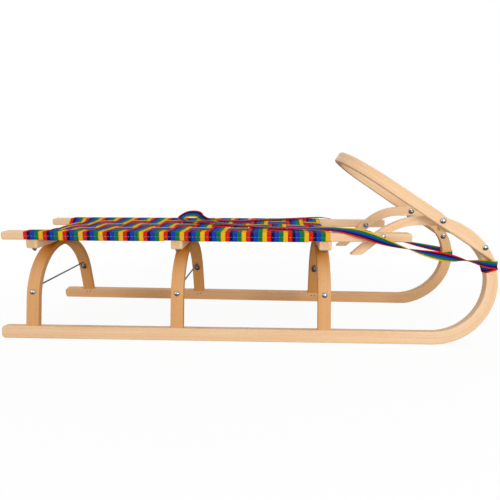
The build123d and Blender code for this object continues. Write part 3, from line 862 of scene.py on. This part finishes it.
def cross_strap(index, thickness):
    """Stations and widths of a cross strap, wrapped round both rails."""
    x = STRAP_REAR + (index + 0.5) * STRAP_PITCH
    gap = STRAP_CLEARANCE + thickness / 2
    outer, top, low = rail_outer(x) + gap, RAIL_TOP + gap, RAIL_BOTTOM - gap
    corner = STRAP_CORNER
    blocked = any(abs(x - place) < (STRAP_PITCH + CROSSBAR_WIDTH) / 2 for place in ARCH_PLACES.values())
    half = []
    if blocked:
        half.append((outer, low + STRAP_END_GAP))
    else:
        half += [(outer - STRAP_RETURN + 0.002 * step, low) for step in range(7)]
        half += [(outer - corner + corner * sin(a), low + corner - corner * cos(a))
                 for a in (step * pi / 12 for step in range(7))]
    half += [(outer, low + corner + (top - low - 2 * corner) * step / 6) for step in range(1, 6)]
    half += [(outer - corner + corner * cos(a), top - corner + corner * sin(a))
             for a in (step * pi / 12 for step in range(7))]
    half += [(outer - corner - 0.005 * step, top) for step in range(1, 6)]
    edge = half[-1][0]
    across = []
    steps = 110
    for step in range(1, steps):
        y = edge - 2 * edge * step / steps
        level = 0.0
        for lane in range(LONG_STRAP_COUNT):
            reach = abs(y - lane_middle(lane))
            level += strap_level(index, lane, thickness) * (1 - smooth_step((reach - WEAVE_REACH[0]) / WEAVE_REACH[1]))
        across.append((y, top + level))
    line = half + across + [(-y, z) for y, z in reversed(half)]
    stations, widths = [], []
    for (y, z), along in directions(line):
        stations.append((Vector((x, y, z)), Vector((1, 0, 0)), Vector((0, along.y, -along.x))))
        woven = smooth_step((edge - abs(y)) / NARROWING_RUN)
        widths.append(STRAP_ON_RAIL - STRAP_NARROWING * woven)
    return stations, widths


def long_strap(lane, thickness):
    """Stations of a strap along the seat, over one cross strap and under the next, and folded round the
    first and the last."""
    top = RAIL_TOP + STRAP_CLEARANCE + thickness / 2
    line = []
    steps = STRAP_COUNT * 12
    for step in range(steps + 1):
        place = step / 12
        index = min(int(place), STRAP_COUNT - 1)
        share = place - index
        level = -strap_level(index, lane, thickness)
        if share > 0.5 and index + 1 < STRAP_COUNT:
            level *= 1 - smooth_step((share - (1 - CROSSOVER / 2)) / CROSSOVER) * 2
        elif share <= 0.5 and index > 0:
            level *= 1 - smooth_step((CROSSOVER / 2 - share) / CROSSOVER) * 2
        x = STRAP_REAR + LONG_STRAP_INSET + (STRAP_COUNT * STRAP_PITCH - 2 * LONG_STRAP_INSET) * step / steps
        line.append((x, top + level))
    for end, way in ((0, -1), (STRAP_COUNT - 1, 1)):
        x, z = line[0] if way < 0 else line[-1]
        core = top + strap_level(end, lane, thickness)
        reach = z - core
        fold = [(x + way * abs(reach) * sin(step * pi / 8), core + reach * cos(step * pi / 8)) for step in range(1, 8)]
        fold += [(x - way * FOLD_STEP * step, core - reach) for step in range(7)]
        line = list(reversed(fold)) + line if way < 0 else line + fold
    stations = []
    for (x, z), along in directions(line):
        stations.append((Vector((x, lane_middle(lane), z)), Vector((0, 1, 0)), Vector((-along.y, 0, along.x))))
    return stations


def rod_stations(place, radius):
    """Stations of a tie rod with its flattened ends: middle, half its width, half its thickness, and the
    way its thickness lies."""
    spot, out = leg_spot(place, -ARCH_THICKNESS / 2)
    up = Vector((0, -out.z, out.y))
    base = spot - out * TAB_STAND_OFF
    line = []
    for step in range(13):
        rise = -TAB_HEIGHT / 2 + step / 12 * (TAB_HEIGHT - TAB_TOP)
        tip = max(0.0, 1 - (rise + TAB_HEIGHT / 2) / TAB_TIP)
        neck = smooth_step((rise - TAB_NECK[0]) / TAB_NECK[1])
        wide, thick = TAB_HALF_WIDTH * sqrt(1 - tip * tip * 0.97), TAB_HALF_THICKNESS
        line.append((base + up * rise, wide + (radius - wide) * neck, thick + (radius - thick) * neck, -out))
    corner = line[-1][0]
    inward = Vector((0, -1, 0))
    swing = up.angle(inward)
    for step in range(1, 8):
        turn = swing * step / 7
        ahead = up * cos(turn) + (inward - up * up.dot(inward)).normalized() * sin(turn)
        corner = corner + ahead * (ROD_BEND * swing / 7)
        line.append((corner, radius, radius, Vector((0, -ahead.z, ahead.y))))
    for step in range(1, 9):
        line.append((Vector((place, corner.y * (1 - step / 8), corner.z)), radius, radius, Vector((0, 0, -1))))
    return line + [(Vector((m.x, -m.y, m.z)), w, t, Vector((0, -n.y, n.z))) for m, w, t, n in reversed(line[:-1])]


def rod_mesh(name, stations):
    """A bar through rod stations, round where it is slim and flat where it is wide."""
    sides, points = 16, []
    for middle, wide, thick, lies in stations:
        for side in range(sides):
            angle = 2 * pi * side / sides
            points.append(middle + Vector((1, 0, 0)) * (wide * cos(angle)) + lies * (thick * sin(angle)))
    rings = [range(start, start + sides) for start in range(0, len(points), sides)]
    mesh = bpy.data.meshes.new(name)
    mesh.from_pydata(points, [], skin(rings) + [rings[0], rings[-1]])
    return smoothed(mesh)


def tree_with_sizes(name, sizes):
    """A geometry tree that takes points and these named sizes; its input node and its output node."""
    tree = bpy.data.node_groups.new(name, "GeometryNodeTree")
    tree.interface.new_socket("Geometry", in_out="INPUT", socket_type="NodeSocketGeometry")
    for label in sizes:
        tree.interface.new_socket(label, in_out="INPUT", socket_type="NodeSocketFloat").subtype = "DISTANCE"
    tree.interface.new_socket("Geometry", in_out="OUTPUT", socket_type="NodeSocketGeometry")
    return tree, tree.nodes.new("NodeGroupInput"), tree.nodes.new("NodeGroupOutput")


def vector_of(tree, x=0.0, y=0.0, z=0.0):
    return add_node(tree, "ShaderNodeCombineXYZ", {"X": x, "Y": y, "Z": z}).outputs[0]


def moved(tree, shape, translation=None, scale=None):
    inputs = {"Geometry": shape}
    if translation:
        inputs["Translation"] = translation
    if scale:
        inputs["Scale"] = scale
    return add_node(tree, "GeometryNodeTransform", inputs).outputs["Geometry"]


def cylinder(tree, radius, depth, sides):
    """A cylinder that stands on the point it is put on."""
    shape = add_node(tree, "GeometryNodeMeshCylinder", {"Vertices": sides, "Radius": radius, "Depth": depth})
    return moved(tree, shape.outputs["Mesh"], vector_of(tree, z=math(tree, "MULTIPLY", depth, 0.5)))


def dome(tree, radius, height, sides=28):
    """The upper half of a flattened ball."""
    ball = add_node(tree, "GeometryNodeMeshUVSphere", {"Segments": sides, "Rings": 16, "Radius": 1.0})
    position = add_node(tree, "GeometryNodeInputPosition").outputs[0]
    up = add_node(tree, "ShaderNodeSeparateXYZ", {0: position}).outputs["Z"]
    below = add_node(tree, "FunctionNodeCompare", {0: up, 1: -0.01}, data_type="FLOAT",
                     operation="LESS_THAN").outputs[0]
    half = add_node(tree, "GeometryNodeDeleteGeometry", {"Geometry": ball.outputs["Mesh"], "Selection": below})
    return moved(tree, half.outputs[0], scale=vector_of(tree, radius, radius, height))


def close_tree(tree, source, target, shapes, material):
    """Puts the joined shapes on every point, turned to its aim, as plain geometry with its material."""
    joined = add_node(tree, "GeometryNodeJoinGeometry")
    for shape in shapes:
        tree.links.new(shape, joined.inputs[0])
    aim = add_node(tree, "GeometryNodeInputNamedAttribute", {"Name": "aim"}, data_type="FLOAT_VECTOR")
    turn = add_node(tree, "FunctionNodeAlignRotationToVector", {"Vector": aim.outputs[0]}, axis="Z")
    put = add_node(tree, "GeometryNodeInstanceOnPoints", {
        "Points": source.outputs["Geometry"], "Instance": joined.outputs[0], "Rotation": turn.outputs[0]})
    real = add_node(tree, "GeometryNodeRealizeInstances", {"Geometry": put.outputs[0]})
    done = add_node(tree, "GeometryNodeSetMaterial", {"Geometry": real.outputs[0], "Material": material})
    tree.links.new(done.outputs[0], target.inputs["Geometry"])


def repeated(name, tree, sizes, places, material, slot):
    """A plain mesh with the tree's shape at each place: a point and the direction it faces."""
    mesh = bpy.data.meshes.new(name)
    mesh.from_pydata([spot for spot, _ in places], [], [])
    aims = [value for _, aim in places for value in aim]
    mesh.attributes.new("aim", "FLOAT_VECTOR", "POINT").data.foreach_set("vector", aims)
    holder = bpy.data.objects.new(name + " points", mesh)
    bpy.context.scene.collection.objects.link(holder)
    modifier = holder.modifiers.new("Repeat", "NODES")
    modifier.node_group = tree
    for item in tree.interface.items_tree:
        if item.in_out == "INPUT" and item.name in sizes:
            modifier[item.identifier] = sizes[item.name]
    shown = holder.evaluated_get(bpy.context.evaluated_depsgraph_get())
    result = bpy.data.meshes.new_from_object(shown)
    result.name = name
    bpy.data.objects.remove(holder)
    smoothed(result, merge=True).set_sharp_from_angle(angle=radians(32))
    return new_piece(name, result, material, slot)


def both_sides(places):
    """These places and their mirror images on the right of the sled."""
    return places + other_side(places)


def leg_spot(place, offset):
    """A point at the bolts' height on an arch's left leg, and the way its outer face looks."""
    centre_y, centre_z, radius, foot = arch_arc(place)
    reach = radius + offset
    rise = BOLT_HEIGHT - centre_z
    if rise > reach * sin(ARCH_LEAN):
        y = centre_y + sqrt(reach ** 2 - rise ** 2)
        out = Vector((0, y - centre_y, rise)).normalized()
    else:
        y = foot + offset / cos(ARCH_LEAN) - (BOLT_HEIGHT - RUNNER_HEIGHT) * tan(ARCH_LEAN)
        out = Vector((0, cos(ARCH_LEAN), sin(ARCH_LEAN)))
    return Vector((place, y, BOLT_HEIGHT)), out


RUNNER_OUT = (runner_point(0, 1, 0) - runner_point(0, 0, 0)).normalized()


class SLED_OT_stage(bpy.types.Operator):
    """Camera at the photograph's angle, pale floor, soft studio light"""
    bl_idname = "sled.stage"
    bl_label = "Stage"

    def execute(self, context):
        scene, stage = context.scene, context.scene.sled_stage
        scene.view_settings.view_transform = "Standard"
        lens = bpy.data.cameras.new("camera")
        lens.lens, lens.sensor_width, lens.clip_end = CAMERA_LENS, 36.0, 60.0
        camera = bpy.data.objects.new("camera", lens)
        pitch, yaw, roll = CAMERA_PITCH, CAMERA_YAW, CAMERA_ROLL
        forward, right, up = Vector((sin(yaw), cos(yaw), 0)), Vector((cos(yaw), -sin(yaw), 0)), Vector((0, 0, 1))
        aim = forward * cos(pitch) - up * sin(pitch)
        tilted = up * cos(pitch) + forward * sin(pitch)
        wide = right * cos(roll) + tilted * sin(roll)
        high = tilted * cos(roll) - right * sin(roll)
        turn = Matrix((wide, high, -aim)).transposed().to_4x4()
        camera.matrix_world = Matrix.Translation(CAMERA_PLACE) @ turn
        scene.collection.objects.link(camera)
        scene.camera = camera
        self.floor(scene, stage)
        self.world(scene, stage)
        for name, (width, place) in LAMPS.items():
            self.lamp(scene, name + " lamp", getattr(stage, name), width, place)
        return {"FINISHED"}

    def seen(self, tree):
        """1 for rays from the camera, mirrors and glass, 0 for rays that light the object."""
        path = add_node(tree, "ShaderNodeLightPath").outputs
        direct = math(tree, "ADD", path["Is Camera Ray"], path["Is Glossy Ray"])
        node = add_node(tree, "ShaderNodeMath", {0: direct, 1: path["Is Transmission Ray"]}, operation="ADD")
        node.use_clamp = True
        return node.outputs[0]

    def floor(self, scene, stage):
        mesh = bpy.data.meshes.new("floor")
        turns = [step * pi / 48 for step in range(96)]
        spots = [(FLOOR_RADIUS * cos(turn), FLOOR_RADIUS * sin(turn), FLOOR_LEVEL) for turn in turns]
        mesh.from_pydata(spots, [], [range(len(spots))])
        material = bpy.data.materials.new("Studio floor")
        material.use_nodes = True
        tree = material.node_tree
        tree.nodes.clear()
        mirror = add_node(tree, "ShaderNodeLightPath").outputs["Is Glossy Ray"]
        seen = math(tree, "SUBTRACT", self.seen(tree), mirror)
        shade = mix(tree, seen, (0.72, 0.70, 0.67), tuple(stage.floor))
        # Seen in mirrors the floor is dark grey: a painted reflection that gives the metal its dark side
        matt = add_node(tree, "ShaderNodeBsdfDiffuse", {"Color": mix(tree, mirror, shade, (0.24, 0.24, 0.24))})
        glow = add_node(tree, "ShaderNodeEmission", {"Color": (1, 1, 1, 1), "Strength": 1.0})
        place = add_node(tree, "ShaderNodeTexCoord").outputs["Object"]
        away = add_node(tree, "ShaderNodeVectorMath", {0: place}, operation="LENGTH").outputs["Value"]
        share = math(tree, "MULTIPLY", seen, spread(tree, away, 0.55, 1.1, 0.93, 1.0))
        both = add_node(tree, "ShaderNodeMixShader", {0: share, 1: matt.outputs[0], 2: glow.outputs[0]})
        target = add_node(tree, "ShaderNodeOutputMaterial")
        tree.links.new(both.outputs[0], target.inputs["Surface"])
        mesh.materials.append(material)
        floor = bpy.data.objects.new("floor", mesh)
        scene.collection.objects.link(floor)

    def world(self, scene, stage):
        world = bpy.data.worlds.new("studio")
        world.use_nodes = True
        tree = world.node_tree
        strength = spread(tree, self.seen(tree), 0.0, 1.0, stage.sky, 1.0)
        tree.links.new(strength, tree.nodes["Background"].inputs["Strength"])
        tree.nodes["Background"].inputs["Color"].default_value = (1, 1, 1, 1)
        scene.world = world

    def lamp(self, scene, name, power, width, place):
        light = bpy.data.lights.new(name, "AREA")
        light.energy, light.size = power, width
        lamp = bpy.data.objects.new(name, light)
        lamp.location = place
        lamp.rotation_euler = (Vector(LAMP_AIM) - Vector(place)).to_track_quat("-Z", "Y").to_euler()
        scene.collection.objects.link(lamp)


class SLED_OT_pull_strap(bpy.types.Operator):
    """Flat pull strap from curl to curl over the seat, and its loops round the curls"""
    bl_idname = "sled.pull_strap"
    bl_label = "Pull strap"

    def execute(self, context):
        webbing = context.scene.sled_webbing
        width, thickness = webbing.pull_width, webbing.pull_thickness
        material = webbing_material("Pull strap webbing", webbing, width, (0.16, 0.38, 0.60, 0.85))
        points = strap_line()
        strap = Ribbon("pull_strap_webbing")
        strap.add(strap_stations(points), width, thickness)
        piece = new_piece(strap.name, strap.mesh(), material, "pull_strap", "pull_strap")
        for side, angle in STRAP_LOOPS.items():
            loop = Ribbon("pull_strap_loop_" + side)
            loop.add(loop_stations(angle, thickness, side == "right"), width, thickness, closed=True)
            new_piece(loop.name, loop.mesh(), material, "pull_strap", "strap_loop_" + side)
        return {"FINISHED"}


class SLED_OT_runners(bpy.types.Operator):
    """Two bent runners with curled fronts"""
    bl_idname = "sled.runners"
    bl_label = "Runners"

    def execute(self, context):
        def planed(point):
            return Vector((point.x, point.y, max(0.0, point.z)))
        stations = runner_stations()
        # The left runner leans to the warm colour all along: painted shade on the far side, the same wood as the right
        # runner
        for seed, side, line, warmth_and_shade in ((1, "left", stations, 0.36), (2, "right", other_side(stations), 0.0)):
            wooden("bent_runner_" + side, line, context.scene.sled_wood, seed, "runner_" + side,
                   ends=(RUNNER_HEEL, SMALL_END), trim=planed, tone=lambda point: warmth_and_shade)
        return {"FINISHED"}


class SLED_OT_arches(bpy.types.Operator):
    """Three bent arches with planed crowns"""
    bl_idname = "sled.arches"
    bl_label = "Arches"

    def execute(self, context):
        def planed(point):
            return Vector((point.x, point.y, min(CROSSBAR_BOTTOM, point.z)))
        def warmth_and_shade(point):
            # 0.60 all over is the arches' own warmer wood; the rise towards the crown, under the crossbar, and on the
            # left legs is painted shade
            crown, left = smooth_step((point.z - 0.168) / 0.05), smooth_step(point.y / 0.08)
            return 0.60 + 0.40 * max(crown, 0.35 * left)
        for seed, (name, place) in enumerate(ARCH_PLACES.items(), 3):
            wooden("bent_arch_" + name, arch_stations(place), context.scene.sled_wood, seed, "arch_" + name,
                   trim=planed, edge=0.0018, tone=warmth_and_shade)
        return {"FINISHED"}


class SLED_OT_seat_frame(bpy.types.Operator):
    """Crossbars on the arches and the two seat rails"""
    bl_idname = "sled.seat_frame"
    bl_label = "Rails and crossbars"

    def execute(self, context):
        wood = context.scene.sled_wood
        for seed, (name, place) in enumerate(ARCH_PLACES.items(), 6):
            wooden("seat_crossbar_" + name, crossbar_stations(place), wood, seed, "crossbar_" + name, edge=0.0040)
        for seed, side in ((9, "left"), (10, "right")):
            wooden("seat_rail_" + side, rail_stations(side), wood, seed, "rail_" + side,
                   ends=(RAIL_HEEL, RAIL_NOSE[side]))
        return {"FINISHED"}


class SLED_OT_braces(bpy.types.Operator):
    """Two bent braces from the rails to the runner tips"""
    bl_idname = "sled.braces"
    bl_label = "Braces"

    def execute(self, context):
        for seed, side in ((11, "left"), (12, "right")):
            wooden("bent_brace_" + side, brace_stations(side), context.scene.sled_wood, seed, "brace_" + side,
                   edge=0.002)
        return {"FINISHED"}


class SLED_OT_horn(bpy.types.Operator):
    """Bent horn hoop on the outer faces of the runner tips"""
    bl_idname = "sled.horn"
    bl_label = "Horn hoop"

    def execute(self, context):
        wooden("bent_horn", horn_stations(), context.scene.sled_wood, 13, "horn_hoop", edge=0.0035)
        return {"FINISHED"}


class SLED_OT_tie_rods(bpy.types.Operator):
    """Steel tie rods between the legs, flattened to tabs at their ends"""
    bl_idname = "sled.tie_rods"
    bl_label = "Tie rods"

    def execute(self, context):
        metal = context.scene.sled_metal
        steel = steel_material("Rod steel", tuple(metal.rod), 0.34)
        for name, place in ARCH_PLACES.items():
            mesh = rod_mesh("steel_tie_rod_" + name, rod_stations(place, metal.rod_width / 2))
            new_piece(mesh.name, mesh, steel, "zinc_steel", "tie_rod_" + name)
        return {"FINISHED"}


class SLED_OT_seat_webbing(bpy.types.Operator):
    """Striped straps round the rails, woven with the long straps"""
    bl_idname = "sled.seat_webbing"
    bl_label = "Seat webbing"

    def execute(self, context):
        webbing = context.scene.sled_webbing
        thickness = webbing.thickness
        material = webbing_material("Striped webbing", webbing, STRAP_PITCH, (0.19, 0.345, 0.57, 0.782))
        cross = Ribbon("seat_webbing_cross")
        for index in range(STRAP_COUNT):
            stations, widths = cross_strap(index, thickness)
            cross.add(stations, widths, thickness, fall=seat_fall)
        piece = new_piece(cross.name, cross.mesh(), material, "webbing", "seat_cross_straps")
        along = Ribbon("seat_webbing_long")
        for lane in range(LONG_STRAP_COUNT):
            along.add(long_strap(lane, thickness), LONG_STRAP_WIDTH, thickness, fall=seat_fall)
        piece = new_piece(along.name, along.mesh(), material, "webbing", "seat_long_straps")
        return {"FINISHED"}


class SLED_OT_stitches(bpy.types.Operator):
    """Rows of stitches on the straps where they turn under the rails"""
    bl_idname = "sled.stitches"
    bl_label = "Stitches"

    def execute(self, context):
        webbing = context.scene.sled_webbing
        tree, source, target = tree_with_sizes("Stitches", ("Length", "Width"))
        ball = add_node(tree, "GeometryNodeMeshUVSphere", {"Segments": 8, "Rings": 5, "Radius": 0.5})
        long, wide = source.outputs["Length"], source.outputs["Width"]
        shape = moved(tree, ball.outputs["Mesh"], scale=vector_of(tree, wide, wide, long))
        material = thread_material("Sewing thread", webbing)
        close_tree(tree, source, target, [shape], material)
        places = []
        for index in range(STRAP_COUNT):
            for step in range(STITCH_COUNT):
                x = STRAP_REAR + index * STRAP_PITCH + STITCH_MARGIN + STITCH_PITCH * step
                y = rail_outer(x) + STRAP_CLEARANCE + webbing.thickness
                places.append((Vector((x, y, STITCH_HEIGHT)), Vector((1, 0, 0))))
        repeated("seat_stitches", tree, {"Length": webbing.stitch, "Width": THREAD_WIDTH}, both_sides(places),
                 material, "webbing")
        return {"FINISHED"}


class SLED_OT_fasteners(bpy.types.Operator):
    """Round bolt heads, nuts with washers, and nails"""
    bl_idname = "sled.fasteners"
    bl_label = "Bolts, nuts and nails"

    def execute(self, context):
        metal = context.scene.sled_metal
        zinc = steel_material("Zinc plate", tuple(metal.zinc), 0.16)
        heads, nuts = [], []
        for place in ARCH_PLACES.values():
            heads.append(leg_spot(place, ARCH_THICKNESS / 2))
            spot, out = leg_spot(place, -ARCH_THICKNESS / 2)
            nuts.append((spot - out * TAB_NUT, -out))
            nuts.append((Vector((place, rail_outer(place) - RAIL_WIDTH / 2, CROSSBAR_BOTTOM)), Vector((0, 0, -1))))
        heads, nuts = both_sides(heads), both_sides(nuts)
        for side, way in (("left", 1), ("right", -1)):
            for x, z in HORN_BOLTS[side]:
                inner = BRACE_THICKNESS if x < BRACE_FRONT else 0.0
                facing = Vector((RUNNER_OUT.x, way * RUNNER_OUT.y, RUNNER_OUT.z))
                heads.append((Vector((x, way * runner_face(x, z, -HORN_THICKNESS), z)), facing))
                nuts.append((Vector((x, way * runner_face(x, z, RUNNER_WIDTH + inner), z)), -facing))
            x, z = BRACE_BOLT[side]
            heads.append((Vector((x, way * rail_outer(x), z)), Vector((0, way, 0))))
            nuts.append((Vector((x, way * (rail_outer(x) - RAIL_WIDTH - BRACE_THICKNESS), z)), Vector((0, -way, 0))))

        tree, source, target = tree_with_sizes("Round heads", ("Diameter", "Height"))
        radius = math(tree, "MULTIPLY", source.outputs["Diameter"], 0.5)
        foot = moved(tree, cylinder(tree, radius, HEAD_FOOT, 28), vector_of(tree, z=HEAD_RISE - HEAD_FOOT))
        close_tree(tree, source, target, [dome(tree, radius, source.outputs["Height"]), foot], zinc)
        repeated("bolt_heads", tree, {"Diameter": metal.head, "Height": metal.head_height}, heads, zinc,
                 "zinc_steel")

        tree, source, target = tree_with_sizes("Nuts", ("Width", "Height"))
        wide, tall = source.outputs["Width"], source.outputs["Height"]
        washer = cylinder(tree, math(tree, "MULTIPLY", wide, WASHER_SHARE), WASHER, 28)
        hexagon = cylinder(tree, math(tree, "MULTIPLY", wide, HEXAGON_SHARE), tall, 6)
        radius, reach = math(tree, "MULTIPLY", wide, STUD_SHARE), math(tree, "MULTIPLY", tall, STUD_REACH)
        stud = cylinder(tree, radius, reach, 20)
        tip = moved(tree, dome(tree, radius, STUD_TIP, 20), vector_of(tree, z=reach))
        close_tree(tree, source, target, [washer, hexagon, stud, tip], zinc)
        repeated("bolt_nuts", tree, {"Width": metal.nut, "Height": metal.nut_height}, nuts, zinc,
                 "zinc_steel")

        dark = steel_material("Nail steel", tuple(metal.nail_head), 0.4)
        nails = []
        for place in ARCH_PLACES.values():
            for step in NAIL_STEPS:
                nails.append((runner_point(place + step, -RUNNER_WIDTH, NAIL_HEIGHT), -RUNNER_OUT))
        tree, source, target = tree_with_sizes("Nail heads", ("Diameter", "Height"))
        radius = math(tree, "MULTIPLY", source.outputs["Diameter"], 0.5)
        close_tree(tree, source, target, [dome(tree, radius, source.outputs["Height"], 16)], dark)
        repeated("foot_nails", tree, {"Diameter": metal.nail, "Height": NAIL_RISE}, both_sides(nails), dark,
                 "zinc_steel")
        return {"FINISHED"}


STEPS = (SLED_OT_stage, SLED_OT_pull_strap, SLED_OT_runners, SLED_OT_arches, SLED_OT_seat_frame, SLED_OT_braces,
         SLED_OT_horn, SLED_OT_tie_rods, SLED_OT_seat_webbing, SLED_OT_stitches, SLED_OT_fasteners)
SETTINGS = {"sled_wood": SledWood, "sled_webbing": SledWebbing, "sled_metal": SledMetal, "sled_stage": SledStage}


class SLED_PT_panel(bpy.types.Panel):
    """The sled's pieces and their settings"""
    bl_idname = "SLED_PT_panel"
    bl_label = "Horn Sled"
    bl_space_type = "VIEW_3D"
    bl_region_type = "UI"
    bl_category = "Horn Sled"

    def draw(self, context):
        for step in STEPS:
            self.layout.operator(step.bl_idname)
        for name, group in SETTINGS.items():
            box = self.layout.box()
            for field in group.__annotations__:
                box.prop(getattr(context.scene, name), field)


def register():
    for group in (*SETTINGS.values(), *STEPS, SLED_PT_panel):
        bpy.utils.register_class(group)
    for name, group in SETTINGS.items():
        setattr(bpy.types.Scene, name, PointerProperty(type=group))


def unregister():
    for name in SETTINGS:
        delattr(bpy.types.Scene, name)
    for group in reversed((*SETTINGS.values(), *STEPS, SLED_PT_panel)):
        bpy.utils.unregister_class(group)


def main():
    register()
    for step in STEPS:
        getattr(bpy.ops.sled, step.bl_idname.split(".")[1])()


if __name__ == "__main__":
    main()
